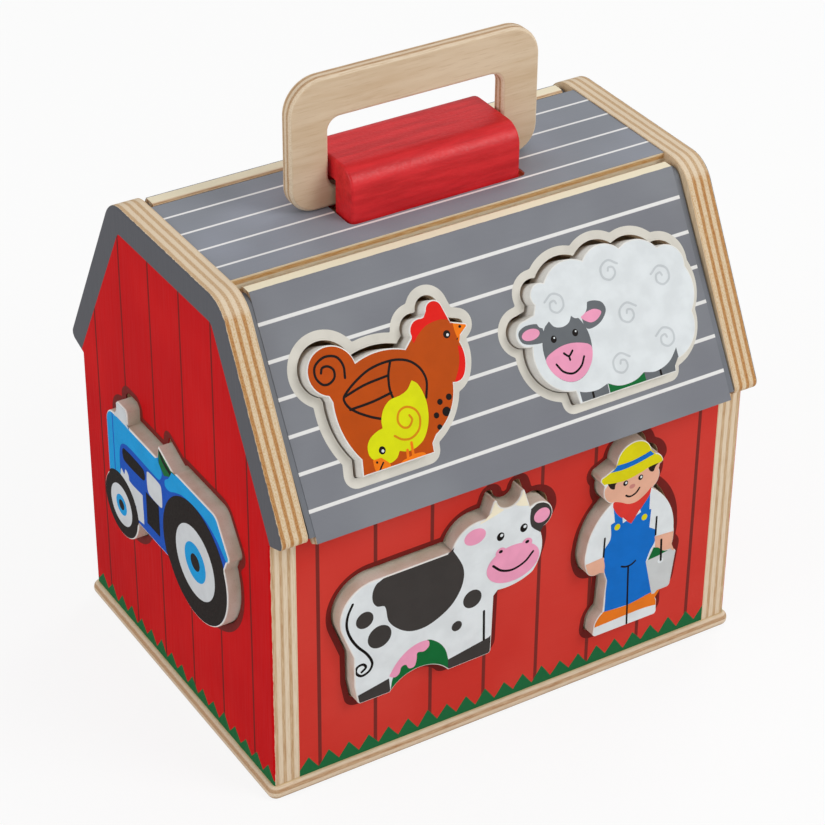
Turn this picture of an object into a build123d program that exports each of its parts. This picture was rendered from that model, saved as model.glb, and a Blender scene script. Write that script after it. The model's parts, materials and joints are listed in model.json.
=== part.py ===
from build123d import *
import math
import os

# Wooden take-along sorting barn, millimetres. X runs along the ridge, -Y is the front, Z is up.
# The origin is at the middle of the base plate's underside.

# Body
length_over_gables = 230.0
depth_over_walls = 165.0
gable_thick = 12.0
wall_thick = 6.5
wall_top = 129.0
base_thick = 6.5
base_overhang = 2.5
base_corner = 4.0
base_edge = 3.0
edge_round = 1.0

# Gable outline
gable_top = 220.7
gable_slope = 62.0
eave_tip_y = 94.0
eave_tip_z = 132.6
eave_under_z = 128.6
eave_round = 3.5
knee_round = 15.0

# Flat ridge panel
panel_top = 220.2
panel_thick = 6.5
panel_half_depth = 33.4

# Roof lids, each on two rebated end rails that turn on steel pins
lid_slope = 59.67
lid_thick = 6.0
lid_length = 101.0
lid_top_z = 219.0
lid_end_gap = 0.7
lid_edge = 1.0
lid_nose = 7.65
pivot_y = 41.2
pivot_z = 211.7
rail_depth = 11.0
rail_inset = 0.25
rail_cheek = 2.5
rail_foot = 6.6
rail_short = 3.0
pin_radius = 1.5
pin_length = 18.0
pin_in_gable = 9.0
pin_clearance = 0.05

# Carrying handle and the block that straddles its lower bar
handle_half_width = 59.0
handle_height = 58.6
handle_thick = 7.0
handle_top_round = 15.0
handle_foot_round = 12.0
handle_bar = 8.8
grip_height = 19.0
handle_leg = 18.0
opening_round = 5.5
handle_edge = 1.2
block_half_length = 39.9
block_half_depth = 19.7
block_above_panel = 22.7
block_shoulder = 9.0
block_edge = 0.8
slot_side_gap = 2.7
slot_top_gap = 4.6
hole_gap_left = 1.2
hole_gap_right = 3.2
hole_gap_side = 0.9
hole_round = 3.0
retainer_border = 5.0
retainer_thick = 6.0

# Dowels
dowel_radius = 2.0
dowel_length = 16.0
dowel_in_gable = 7.0

# Play pieces and the holes they drop through
piece_thick = 12.0
piece_proud = 5.8
hole_clearance = 1.2
piece_rest_gap = 0.3

half_length = length_over_gables / 2
half_depth = depth_over_walls / 2
gable_inner = half_length - gable_thick
lid_half_width = gable_inner - rail_cheek - lid_end_gap
panel_under = panel_top - panel_thick
lid_face_w = rail_depth / 2 + rail_inset
slope = math.radians(lid_slope)
bar_top = panel_top + handle_bar
handle_top = panel_top + handle_height
block_top = panel_top + block_above_panel
turn_back = Rot(0, 0, 180)


def outline(start, *steps):
    """Closed face through steps: a point is a straight run, a pair of points an arc."""
    edges = []
    here = start
    for step in steps + (start,):
        if isinstance(step[0], tuple):
            middle, end = step
            edges.append(ThreePointArc(here, middle, end))
        else:
            end = step
            if math.dist(here, end) < 1e-6:
                continue
            edges.append(Line(here, end))
        here = end
    return make_face(edges)


def slope_point(v, w):
    """Front roof section as (y, z): v up the slope and w outwards, from the hinge line."""
    y = -pivot_y + v * math.cos(slope) - w * math.sin(slope)
    z = pivot_z + v * math.sin(slope) + w * math.cos(slope)
    return y, z


lid_top_v = (lid_top_z - pivot_z - lid_face_w * math.cos(slope)) / math.sin(slope)
lid_top_y = slope_point(lid_top_v, lid_face_w)[0]

# Working planes: x to the right and y up as each face is seen from outside
front_wall_plane = Plane((0, -half_depth, 0), x_dir=(1, 0, 0), z_dir=(0, -1, 0))
left_gable_plane = Plane((-half_length, 0, 0), x_dir=(0, -1, 0), z_dir=(-1, 0, 0))
front_lid_plane = Plane(
    (0, lid_top_y, lid_top_z),
    x_dir=(1, 0, 0),
    z_dir=(0, -math.sin(slope), math.cos(slope)),
)


def hen_outline():
    return outline(
        (-81.6, -47.2),
        ((-88.2, -38.0), (-81.0, -28.2)),
        ((-72.5, -29.0), (-66.6, -37.2)),
        ((-56.0, -35.6), (-44.4, -38.1)),
        (-40.6, -34.6),
        ((-39.0, -29.3), (-34.0, -28.4)),
        (-31.9, -27.6),
        ((-28.6, -23.0), (-23.9, -25.6)),
        (-21.8, -33.4),
        (-15.8, -35.6),
        ((-15.1, -36.6), (-15.8, -37.6)),
        (-20.4, -40.8),
        ((-19.2, -48.5), (-21.4, -55.0)),
        ((-24.0, -57.1), (-27.4, -57.2)),
        ((-31.4, -67.0), (-40.6, -74.6)),
        (-42.9, -77.2),
        (-43.3, -81.1),
        (-76.4, -81.1),
        (-75.2, -74.5),
        ((-80.4, -62.0), (-80.8, -49.6)),
    )


def sheep_outline():
    return outline(
        (16.8, -37.4),
        ((17.4, -30.4), (23.4, -29.8)),
        ((32.5, -23.7), (43.4, -25.8)),
        ((51.2, -21.5), (61.6, -25.3)),
        ((71.0, -23.9), (79.4, -29.7)),
        ((87.4, -31.2), (90.4, -40.5)),
        ((92.2, -50.0), (88.4, -59.2)),
        ((86.3, -69.8), (74.6, -76.6)),
        (73.8, -81.3),
        (25.8, -81.3),
        (25.2, -75.8),
        ((14.0, -69.6), (11.0, -53.2)),
        ((4.9, -47.6), (10.4, -42.0)),
        (15.2, -41.0),
    )


def cow_outline():
    return outline(
        (-78.3, 39.8),
        (-79.8, 48.0),
        (-80.0, 63.0),
        (-85.2, 77.0),
        ((-83.6, 91.8), (-70.5, 98.8)),
        (-33.8, 99.2),
        ((-29.2, 106.6), (-21.5, 109.5)),
        (-16.4, 109.6),
        (-14.2, 116.2),
        ((-13.3, 117.0), (-12.4, 116.4)),
        ((-6.2, 111.4), (-0.6, 117.0)),
        ((0.3, 117.6), (1.1, 116.9)),
        (4.0, 107.8),
        ((13.2, 106.5), (15.3, 101.0)),
        ((13.4, 97.0), (8.9, 95.2)),
        ((10.7, 84.5), (6.4, 74.0)),
        ((-1.9, 70.9), (-10.8, 70.8)),
        (-12.8, 68.6),
        (-13.5, 40.8),
        ((-13.9, 39.6), (-15.1, 39.0)),
        (-34.6, 38.6),
        ((-48.8, 45.6), (-63.0, 38.3)),
        (-76.6, 38.3),
        ((-77.8, 38.7), (-78.3, 39.8)),
    )


def farmer_outline():
    return outline(
        (47.0, 112.4),
        ((56.0, 122.3), (64.8, 112.9)),
        ((69.4, 111.0), (71.2, 107.5)),
        (68.4, 105.4),
        ((69.6, 100.2), (65.9, 95.0)),
        ((74.6, 86.0), (79.2, 70.2)),
        ((79.4, 64.0), (78.0, 58.0)),
        (80.0, 57.7),
        ((81.0, 57.0), (81.1, 55.6)),
        (79.2, 40.2),
        ((78.6, 38.9), (77.2, 38.4)),
        (70.8, 38.4),
        (72.5, 33.0),
        (72.6, 28.0),
        ((72.2, 26.4), (70.8, 25.9)),
        (41.2, 25.9),
        ((39.7, 26.4), (39.2, 28.0)),
        (39.6, 32.0),
        ((41.2, 35.4), (43.8, 37.8)),
        (44.8, 54.4),
        (42.6, 61.0),
        ((37.8, 59.4), (34.2, 63.2)),
        ((33.0, 68.0), (33.4, 73.4)),
        ((37.2, 85.2), (45.6, 94.2)),
        ((41.6, 98.4), (41.4, 104.2)),
        (39.4, 107.0),
        ((39.3, 108.6), (40.6, 109.4)),
    )


def tractor_outline():
    rear_x, rear_z, rear_radius = 29.3, 89.5, 27.9
    front_x, front_z, front_radius = -39.3, 76.7, 15.7
    belly = 76.7
    nose = -49.7
    nose_z = front_z + math.sqrt(front_radius**2 - (nose - front_x) ** 2)
    rear_left = rear_x - math.sqrt(rear_radius**2 - (belly - rear_z) ** 2)
    lean = math.radians(25)
    return outline(
        (nose, nose_z),
        (nose, 115.6),
        ((-47.8, 120.3), (-43.4, 122.3)),
        (-39.5, 122.4),
        (-39.5, 129.0),
        (-37.9, 130.5),
        (-30.6, 130.5),
        (-29.2, 129.0),
        (-29.2, 122.4),
        (-1.8, 122.4),
        (-0.6, 129.3),
        (12.6, 123.4),
        (15.0, 124.8),
        (45.8, 124.8),
        ((49.0, 124.0), (51.2, 121.6)),
        (58.8, 110.6),
        ((59.0, 108.2), (57.2, 106.6)),
        (rear_x + rear_radius * math.cos(lean), rear_z + rear_radius * math.sin(lean)),
        ((rear_x + rear_radius * 0.6, rear_z - rear_radius * 0.8), (rear_left, belly)),
        (front_x + front_radius, belly),
        ((front_x - front_radius * 0.6, front_z - front_radius * 0.8), (nose, nose_z)),
    )


def duck_outline():
    return outline(
        (-31, 9),
        ((-26, -14), (-6, -25)),
        (10, -25),
        ((27, -17), (25, 2)),
        (24, 9),
        (32, 11.5),
        ((33.5, 14), (32, 16.5)),
        (26, 19),
        ((15.5, 28.5), (6.5, 18)),
        ((5, 8), (-3, 3)),
        ((-13, 0), (-22, 5)),
        ((-26, 8.4), (-31, 9)),
    )


def pig_outline():
    return outline(
        (-33, 4),
        (-34, -6),
        ((-29, -11), (-23, -12)),
        (-22, -24),
        (-9, -24),
        (-8, -16),
        ((2, -18), (12, -16)),
        (13, -24),
        (26, -24),
        (27, -12),
        ((34, 1), (27, 13)),
        ((5, 22), (-14, 18)),
        (-19, 24),
        (-25, 15),
        ((-28, 8), (-33, 4)),
    )


def horse_outline():
    return outline(
        (-31, -8),
        (-28, -33),
        (-15, -33),
        (-13, -13),
        ((-1, -16), (10, -13)),
        (13, -33),
        (25, -33),
        (26, -2),
        ((28, 6), (27, 12)),
        (36, 9),
        ((40, 12), (38, 17)),
        (27, 29),
        (24, 35),
        (18, 30),
        ((8, 24), (1, 14)),
        ((-12, 11), (-24, 14)),
        ((-36, 8), (-31, -8)),
    )


def cat_outline():
    return outline(
        (-14, -30),
        (14, -30),
        ((21, -17), (13, -2)),
        ((10.5, 3), (13, 8)),
        ((18, 16), (14, 25)),
        (14, 34),
        (6, 29),
        (-6, 29),
        (-14, 34),
        (-14, 25),
        ((-18, 16), (-13, 8)),
        ((-10.5, 3), (-13, -2)),
        ((-21, -17), (-14, -30)),
    )


def wagon_outline():
    wheel_x, wheel_y, wheel_radius, bed = 24, -14, 15, -8
    reach = math.sqrt(wheel_radius**2 - (bed - wheel_y) ** 2)
    return outline(
        (-44, bed),
        (-44, 10),
        (-37, 12),
        (-33, 28),
        ((0, 35), (33, 28)),
        (37, 12),
        (44, 10),
        (44, bed),
        (wheel_x + reach, bed),
        ((wheel_x, wheel_y - wheel_radius), (wheel_x - reach, bed)),
        (reach - wheel_x, bed),
        ((-wheel_x, wheel_y - wheel_radius), (-wheel_x - reach, bed)),
    )


def play_piece(face):
    """Piece in its panel's plane: its back inside the hole, its front standing proud."""
    return extrude(Pos(0, 0, piece_proud - piece_thick) * face, piece_thick)


def piece_hole(face, thickness):
    """Hole that the piece drops through; the piece rests near its lower edge."""
    lift = hole_clearance - piece_rest_gap
    wide = offset(face, hole_clearance, kind=Kind.ARC)
    return extrude(Pos(0, lift, -thickness - 1) * wide, thickness + 2)


def turned_cylinder(radius, start, direction, height):
    return Plane(start, z_dir=direction) * Cylinder(
        radius, height, align=(Align.CENTER, Align.CENTER, Align.MIN)
    )


def rod(radius, x_from, x_to, y, z):
    return turned_cylinder(radius, (x_from, y, z), (1, 0, 0), x_to - x_from)


def dowel_places():
    """Dowels across the joints at each gable, as (y, z) of their axes."""
    wall_y = half_depth - wall_thick / 2
    places = [(side * wall_y, z) for side in (-1, 1) for z in (30, 104)]
    places += [(side * 22, panel_top - panel_thick / 2) for side in (-1, 1)]
    return places


def dowel(side, y, z):
    inner_end = gable_inner + dowel_in_gable - dowel_length
    low, high = sorted((side * inner_end, side * (gable_inner + dowel_in_gable)))
    return rod(dowel_radius, low, high, y, z)


def hinge_pin(side, y_side, clearance=0.0):
    inner_end = gable_inner + pin_in_gable - pin_length
    low, high = sorted((side * inner_end, side * (gable_inner + pin_in_gable)))
    return rod(pin_radius + clearance, low, high, y_side * pivot_y, pivot_z)


def base_plate():
    plate = Pos(0, 0, base_thick / 2) * Box(
        length_over_gables + 2 * base_overhang, depth_over_walls + 2 * base_overhang, base_thick
    )
    plate = fillet(plate.edges().filter_by(Axis.Z), base_corner)
    rims = plate.edges().group_by(Axis.Z)
    plate = fillet(rims[0] + rims[-1], base_edge)
    return plate


def gable_blank():
    """Gable in its own plane: upright wall sides, projecting eaves and a flat peak."""
    peak_y = eave_tip_y - (gable_top - eave_tip_z) / math.tan(math.radians(gable_slope))
    right = [
        (half_depth, base_thick),
        (half_depth, eave_under_z),
        (eave_tip_y, eave_tip_z),
        (peak_y, gable_top),
    ]
    left = [(-y, z) for y, z in reversed(right)]
    face = make_face(Polyline(*right, *left, close=True))
    knees = face.vertices().filter_by(lambda v: abs(v.Z + v.Y - gable_top) < 0.01)
    face = fillet(knees, knee_round)
    tips = face.vertices().filter_by(lambda v: abs(v.Y - eave_tip_z) < 0.01)
    face = fillet(tips, eave_round)
    blank = extrude(face, -gable_thick)
    rims = blank.faces().sort_by(Axis.Z)
    outer = rims[-1].edges().filter_by(lambda e: e.center().Y > base_thick + 1)
    return fillet(outer, edge_round)


def left_gable(picture):
    """Left gable, pierced for the piece whose outline is given."""
    gable = left_gable_plane.location * gable_blank()
    gable -= left_gable_plane.location * piece_hole(picture, gable_thick)
    for y_side in (-1, 1):
        gable -= hinge_pin(-1, y_side)
    for y, z in dowel_places():
        gable -= dowel(-1, y, z)
    return gable


def front_wall(pictures):
    """Front wall between the gables, pierced for the pieces whose outlines are given."""
    wall = Pos(0, wall_thick / 2 - half_depth, (base_thick + wall_top) / 2) * Box(
        2 * gable_inner, wall_thick, wall_top - base_thick
    )
    top_edges = wall.edges().filter_by(Axis.X).group_by(Axis.Z)[-1]
    wall = fillet(top_edges, edge_round)
    for picture in pictures:
        wall -= front_wall_plane.location * piece_hole(picture, wall_thick)
    for side in (-1, 1):
        for y, z in dowel_places():
            if y < -panel_half_depth:
                wall -= dowel(side, y, z)
    return wall


def ridge_hole():
    low = -block_half_length - hole_gap_left
    high = block_half_length + hole_gap_right
    return Pos((low + high) / 2, 0, 0) * RectangleRounded(
        high - low, 2 * (block_half_depth + hole_gap_side), hole_round
    )


def ridge_panel():
    panel = Pos(0, 0, panel_top - panel_thick / 2) * Box(
        2 * gable_inner, 2 * panel_half_depth, panel_thick
    )
    panel -= extrude(Pos(0, 0, panel_under - 1) * ridge_hole(), panel_thick + 2)
    for side in (-1, 1):
        for y, z in dowel_places():
            if z > wall_top:
                panel -= dowel(side, y, z)
    return panel


def loop_face():
    """Outer outline of the handle, standing on the ridge panel."""
    width, low, high = handle_half_width, panel_top, handle_top
    face = make_face(Polyline((-width, low), (width, low), (width, high), (-width, high), close=True))
    face = fillet(face.vertices().group_by(Axis.Y)[-1], handle_top_round)
    return fillet(face.vertices().group_by(Axis.Y)[0], handle_foot_round)


def carry_handle():
    """Closed plywood loop with a grip above and a lower bar that the block holds down."""
    grip_under = handle_top - grip_height
    opening = Pos(0, (bar_top + grip_under) / 2) * RectangleRounded(
        2 * (handle_half_width - handle_leg), grip_under - bar_top, opening_round
    )
    ring = extrude(loop_face() - opening, handle_thick / 2, both=True)
    rims = ring.edges().group_by(Axis.Z)
    return Plane.XZ.location * chamfer(rims[0] + rims[-1], handle_edge)


def ridge_block():
    """Round-shouldered block that passes through the ridge panel, slotted over the handle's bar."""
    section = make_face(
        Polyline(
            (-block_half_depth, panel_under),
            (block_half_depth, panel_under),
            (block_half_depth, block_top),
            (-block_half_depth, block_top),
            close=True,
        )
    )
    section = fillet(section.vertices().group_by(Axis.Y)[-1], block_shoulder)
    slot_half = handle_thick / 2 + slot_side_gap
    slot_ceiling = bar_top + slot_top_gap
    slot = Pos(0, (panel_under + slot_ceiling) / 2) * Rectangle(
        2 * slot_half, slot_ceiling - panel_under
    )
    blank = extrude(section, block_half_length, both=True)
    rims = blank.edges().group_by(Axis.Z)
    rims = (rims[0] + rims[-1]).filter_by(lambda e: e.center().Y > panel_under + 1)
    blank = chamfer(rims, block_edge)
    block = blank - extrude(slot, block_half_length + 1, both=True)
    return Plane.YZ.location * block


def block_retainer():
    """Plate below the ridge panel that closes the block's slot and keeps the block down."""
    return Pos(0, 0, panel_under - retainer_thick / 2) * Box(
        2 * (block_half_length + retainer_border),
        2 * (block_half_depth + retainer_border),
        retainer_thick,
    )


def lid_section():
    """Section of a lid's board: level top cut, nose turned about the hinge, square lower end."""
    under_w = lid_face_w - lid_thick
    nose_y = -pivot_y + math.sqrt(lid_nose**2 - (lid_top_z - pivot_z) ** 2)
    nose_v = math.sqrt(lid_nose**2 - under_w**2)
    nose_end = slope_point(nose_v, under_w)
    start_angle = math.atan2(lid_top_z - pivot_z, nose_y + pivot_y)
    end_angle = math.atan2(nose_end[1] - pivot_z, nose_end[0] + pivot_y)
    middle = (start_angle + end_angle) / 2
    bulge = (-pivot_y + lid_nose * math.cos(middle), pivot_z + lid_nose * math.sin(middle))
    bottom_v = lid_top_v - lid_length
    return outline(
        slope_point(lid_top_v, lid_face_w),
        (nose_y, lid_top_z),
        (bulge, nose_end),
        slope_point(bottom_v, under_w),
        slope_point(bottom_v, lid_face_w),
    )


def lid_board():
    section = fillet(lid_section().vertices().group_by(Axis.Y)[0], lid_edge)
    return Plane.YZ.location * extrude(section, lid_half_width, both=True)


def front_lid_board(pictures):
    """Front lid's board, pierced for the pieces whose outlines are given."""
    board = lid_board()
    for picture in pictures:
        board -= front_lid_plane.location * piece_hole(picture, lid_thick)
    for side in (-1, 1):
        board -= hinge_pin(side, -1, pin_clearance)
    return board


def end_rail(side):
    """Front lid's end rail: round-topped about its pin, rebated so that the board sits flush."""
    radius = rail_depth / 2
    bottom_v = lid_top_v - lid_length + rail_short
    section = outline(
        slope_point(0, radius),
        (slope_point(radius, 0), slope_point(0, -radius)),
        slope_point(bottom_v, -radius),
        slope_point(bottom_v, radius),
    )
    section = fillet(section.vertices().group_by(Axis.Y)[0], lid_edge)
    inner_x = lid_half_width - rail_foot
    blank = Plane.YZ.location * extrude(Pos(0, 0, inner_x) * section, rail_foot + rail_cheek)
    if side < 0:
        blank = mirror(blank, Plane.YZ)
    return blank - lid_board() - hinge_pin(side, -1, pin_clearance)


def group(solids):
    return Compound(children=[solid for shape in solids for solid in shape.solids()])


lid_pictures = {"hen_and_chick": hen_outline(), "sheep": sheep_outline()}
back_lid_pictures = {"duck": Pos(-48, -52) * duck_outline(), "pig": Pos(48, -52) * pig_outline()}
wall_pictures = {"cow": cow_outline(), "farmer": farmer_outline()}
back_wall_pictures = {"horse": Pos(-46, 66) * horse_outline(), "cat": Pos(50, 68) * cat_outline()}
gable_picture = tractor_outline()
right_gable_picture = Pos(0, 92) * wagon_outline()

nodes = {
    "base_plate": base_plate(),
    "gable_left": left_gable(gable_picture),
    "gable_right": turn_back * left_gable(right_gable_picture),
    "wall_front": front_wall(wall_pictures.values()),
    "wall_back": turn_back * front_wall(back_wall_pictures.values()),
    "ridge_panel": ridge_panel(),
    "carry_handle": carry_handle(),
    "ridge_block": ridge_block(),
    "block_retainer": block_retainer(),
    "lid_front": front_lid_board(lid_pictures.values()),
    "lid_back": turn_back * front_lid_board(back_lid_pictures.values()),
    "rail_front_left": end_rail(-1),
    "rail_front_right": end_rail(1),
    "rail_back_left": turn_back * end_rail(1),
    "rail_back_right": turn_back * end_rail(-1),
    "hinge_pins": group(hinge_pin(sx, sy) for sx in (-1, 1) for sy in (-1, 1)),
    "gable_dowels": group(dowel(side, y, z) for side in (-1, 1) for y, z in dowel_places()),
}
for name, face in lid_pictures.items():
    nodes[name] = front_lid_plane.location * play_piece(face)
for name, face in back_lid_pictures.items():
    nodes[name] = turn_back * front_lid_plane.location * play_piece(face)
for name, face in wall_pictures.items():
    nodes[name] = front_wall_plane.location * play_piece(face)
for name, face in back_wall_pictures.items():
    nodes[name] = turn_back * front_wall_plane.location * play_piece(face)
nodes["tractor"] = left_gable_plane.location * play_piece(gable_picture)
nodes["hay_wagon"] = turn_back * left_gable_plane.location * play_piece(right_gable_picture)

os.makedirs("parts", exist_ok=True)
for name, shape in nodes.items():
    export_step(shape, f"parts/{name}.step")
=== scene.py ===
import json
import math
from itertools import product

import bmesh
import bpy
from mathutils import Matrix, Vector
from mathutils.kdtree import KDTree


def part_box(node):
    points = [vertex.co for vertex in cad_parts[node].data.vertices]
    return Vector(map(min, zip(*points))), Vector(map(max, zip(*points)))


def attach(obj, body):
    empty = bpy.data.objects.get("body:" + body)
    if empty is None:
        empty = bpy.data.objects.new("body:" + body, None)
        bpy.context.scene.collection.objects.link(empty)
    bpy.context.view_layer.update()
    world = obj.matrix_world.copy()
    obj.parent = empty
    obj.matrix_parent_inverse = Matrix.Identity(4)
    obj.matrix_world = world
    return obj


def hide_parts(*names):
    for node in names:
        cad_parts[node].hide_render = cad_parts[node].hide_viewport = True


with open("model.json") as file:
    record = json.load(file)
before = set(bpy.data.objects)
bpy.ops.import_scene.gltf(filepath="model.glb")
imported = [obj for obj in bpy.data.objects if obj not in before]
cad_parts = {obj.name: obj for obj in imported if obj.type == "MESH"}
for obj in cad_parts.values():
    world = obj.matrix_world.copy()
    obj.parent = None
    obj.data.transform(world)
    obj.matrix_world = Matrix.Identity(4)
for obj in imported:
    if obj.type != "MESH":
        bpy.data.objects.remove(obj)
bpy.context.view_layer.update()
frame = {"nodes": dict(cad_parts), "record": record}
mm = 0.001  # the drawings on the boards below are in millimetres
weld = 2e-6  # loose triangles whose corners lie this close are one surface, in metres
nodes = frame["nodes"]
groups = frame["record"]["behaviour"]["bodies"]
bodyOf = {node: body for body, names in groups.items() for node in names}
print("barn frame loaded,", len(nodes), "nodes")

cameraSet = {
    "place": (-0.5237, -0.8482, 0.76328),
    "azimuth": -31.964,
    "elevation": 32.751,
    "roll": 0.644,
    "lens": 120.45,
    "sensor": 36,
    "shiftX": -0.0107,
    "shiftY": -0.03867,
    "nearest": 0.01,
}
cameraData = bpy.data.cameras.new("productCamera")
cameraData.lens = cameraSet["lens"]
cameraData.sensor_width = cameraSet["sensor"]
cameraData.shift_x = cameraSet["shiftX"]
cameraData.shift_y = cameraSet["shiftY"]
cameraData.clip_start = cameraSet["nearest"]
productCamera = bpy.data.objects.new("productCamera", cameraData)
productCamera.matrix_world = (
    Matrix.Translation(cameraSet["place"])
    @ Matrix.Rotation(math.radians(cameraSet["azimuth"]), 4, "Z")
    @ Matrix.Rotation(math.radians(90 - cameraSet["elevation"]), 4, "X")
    @ Matrix.Rotation(math.radians(cameraSet["roll"]), 4, "Z")
)
bpy.context.scene.collection.objects.link(productCamera)
bpy.context.scene.camera = productCamera
bpy.context.scene.view_settings.view_transform = "Standard"


def linear(hexColour):
    parts = [int(hexColour[i:i + 2], 16) / 255 for i in (1, 3, 5)]
    return tuple(c / 12.92 if c <= 0.04045 else ((c + 0.055) / 1.055) ** 2.4 for c in parts) + (1.0,)


def addNode(tree, kind, links=None, **settings):
    node = tree.nodes.new("ShaderNode" + kind)
    for name, value in settings.items():
        setattr(node, name, value)
    for key, value in (links or {}).items():
        if isinstance(value, bpy.types.Node):
            value = value.outputs[0]
        if isinstance(value, bpy.types.NodeSocket):
            tree.links.new(value, node.inputs[key])
        else:
            node.inputs[key].default_value = value
    return node


def newMaterial(name):
    material = bpy.data.materials.new(name)
    material.use_nodes = True
    tree = material.node_tree
    return material, tree, tree.nodes["Principled BSDF"]


def shapeFrom(mesh):
    shape = bmesh.new()
    shape.from_mesh(mesh)
    return shape


def meshFrom(shape, name):
    mesh = bpy.data.meshes.new(name)
    shape.to_mesh(mesh)
    shape.free()
    return mesh


# studio: a pale paper sweep that reads white to the eye but still takes the barn's shadow
studioSet = {
    "paper": "#F2F2F1",
    "paperFibre": "#EFEFEE",
    "paperSize": 4,
    "paperWhiteShare": 0.86,
    "paperMirror": 0.3,
    "roomLight": 0.55,
    "aim": (0, 0, 0.11),
}
floorShape = bmesh.new()
bmesh.ops.create_grid(floorShape, x_segments=1, y_segments=1, size=studioSet["paperSize"])
floorMesh = meshFrom(floorShape, "paperSweep")
paperSweep = bpy.data.objects.new("paperSweep", floorMesh)
bpy.context.scene.collection.objects.link(paperSweep)

# seamless background paper, matt; part of what the camera sees is plain white so it doesn't need more light
paper, tree, shader = newMaterial("seamlessPaper")
fibre = addNode(tree, "TexNoise", {"Scale": 900.0, "Detail": 3.0})
paperTone = addNode(
    tree, "Mix", {0: fibre, 6: linear(studioSet["paperFibre"]), 7: linear(studioSet["paper"])},
    data_type="RGBA",
)
tree.links.new(paperTone.outputs[2], shader.inputs["Base Color"])
shader.inputs["Roughness"].default_value = 0.9
path = addNode(tree, "LightPath")
cameraRay, glossyRay = path.outputs["Is Camera Ray"], path.outputs["Is Glossy Ray"]
seen = addNode(tree, "Math", {0: cameraRay, 1: glossyRay}, operation="MAXIMUM")
share = addNode(tree, "Math", {0: seen, 1: studioSet["paperWhiteShare"]}, operation="MULTIPLY")
# flags round the set: the varnish mirrors a dim paper, so the paints keep their depth
strength = addNode(tree, "MapRange", {0: glossyRay, 3: 1.0, 4: studioSet["paperMirror"]})
plainWhite = addNode(tree, "Emission", {"Color": (1, 1, 1, 1), "Strength": strength})
blend = addNode(tree, "MixShader", {0: share, 1: shader, 2: plainWhite})
tree.links.new(blend.outputs[0], tree.nodes["Material Output"].inputs["Surface"])
floorMesh.materials.append(paper)

room = bpy.data.worlds.new("studioRoom")
room.use_nodes = True
tree = room.node_tree
background = tree.nodes["Background"]
path = addNode(tree, "LightPath")
clearRays = {0: path.outputs["Is Camera Ray"], 1: path.outputs["Is Transmission Ray"]}
seen = addNode(tree, "Math", clearRays, operation="MAXIMUM")
level = addNode(tree, "MapRange", {"Value": seen, "To Min": studioSet["roomLight"], "To Max": 1.0})
background.inputs["Color"].default_value = (1, 1, 1, 1)
tree.links.new(level.outputs[0], background.inputs["Strength"])
bpy.context.scene.world = room

# round softboxes: place, watts and width in metres
softboxes = {
    "keySoftbox": ((0.95, -1.35, 1.35), 16.0, 1.0),
    "fillSoftbox": ((-1.6, -0.1, 0.75), 7.5, 1.0),
    "backSoftbox": ((1.1, 0.7, 1.5), 5.0, 0.7),
}
for name, (place, power, width) in softboxes.items():
    lamp = bpy.data.lights.new(name, "AREA")
    lamp.shape = "DISK"
    lamp.size = width
    lamp.energy = power
    softbox = bpy.data.objects.new(name, lamp)
    softbox.location = place
    aim = Vector(studioSet["aim"]) - Vector(place)
    softbox.rotation_euler = aim.to_track_quat("-Z", "Y").to_euler()
    bpy.context.scene.collection.objects.link(softbox)
print("camera, paper and lamps placed")

# the six faces the drawings lie on: origin, right and up as each is seen from outside, millimetres
barn = {"lidSlope": 59.67, "lidTopY": 43.59, "lidTopZ": 219.0, "wallFace": 82.5, "gableFace": 115.0}
lidCos, lidSin = math.cos(math.radians(barn["lidSlope"])), math.sin(math.radians(barn["lidSlope"]))
faces = {
    "lid_front": ((0, -barn["lidTopY"], barn["lidTopZ"]), (1, 0, 0), (0, lidCos, lidSin)),
    "lid_back": ((0, barn["lidTopY"], barn["lidTopZ"]), (-1, 0, 0), (0, -lidCos, lidSin)),
    "wall_front": ((0, -barn["wallFace"], 0), (1, 0, 0), (0, 0, 1)),
    "wall_back": ((0, barn["wallFace"], 0), (-1, 0, 0), (0, 0, 1)),
    "gable_left": ((-barn["gableFace"], 0, 0), (0, -1, 0), (0, 0, 1)),
    "gable_right": ((barn["gableFace"], 0, 0), (0, 1, 0), (0, 0, 1)),
}


def placeOn(board):
    origin, right, up = (Vector(part) for part in faces[board])
    turn = Matrix((right, up, right.cross(up))).transposed().to_4x4()
    return Matrix.Scale(mm, 4) @ Matrix.Translation(origin) @ turn


def objectPlace(tree):
    # Object coordinates in millimetres, so each pattern below has its real size
    spot = addNode(tree, "TexCoord").outputs["Object"]
    return addNode(tree, "VectorMath", {0: spot, 1: (1 / mm, 1 / mm, 1 / mm)}, operation="MULTIPLY")


def grainNoise(tree, place, along, fineness, stretch=14.0, detail=4.0):
    # fibres: noise drawn out along one axis; fineness is strands per millimetre across it
    squeeze = [fineness] * 3
    squeeze["XYZ".index(along)] = fineness / stretch
    run = addNode(tree, "VectorMath", {0: place, 1: tuple(squeeze)}, operation="MULTIPLY")
    noise = {"Vector": run, "Scale": 1.0, "Detail": detail, "Roughness": 0.6}
    return addNode(tree, "TexNoise", noise)


def layOver(tree, value, low, high, under, over, strength=1.0):
    # one finish over another where a value passes from low to high; swap those two for the reverse
    masking = {0: value, 1: low, 2: high, 4: strength}
    mask = addNode(tree, "MapRange", masking, interpolation_type="SMOOTHSTEP")
    under, over = (linear(coat) if isinstance(coat, str) else coat for coat in (under, over))
    return addNode(tree, "Mix", {0: mask, 6: under, 7: over}, data_type="RGBA").outputs[2]


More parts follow.
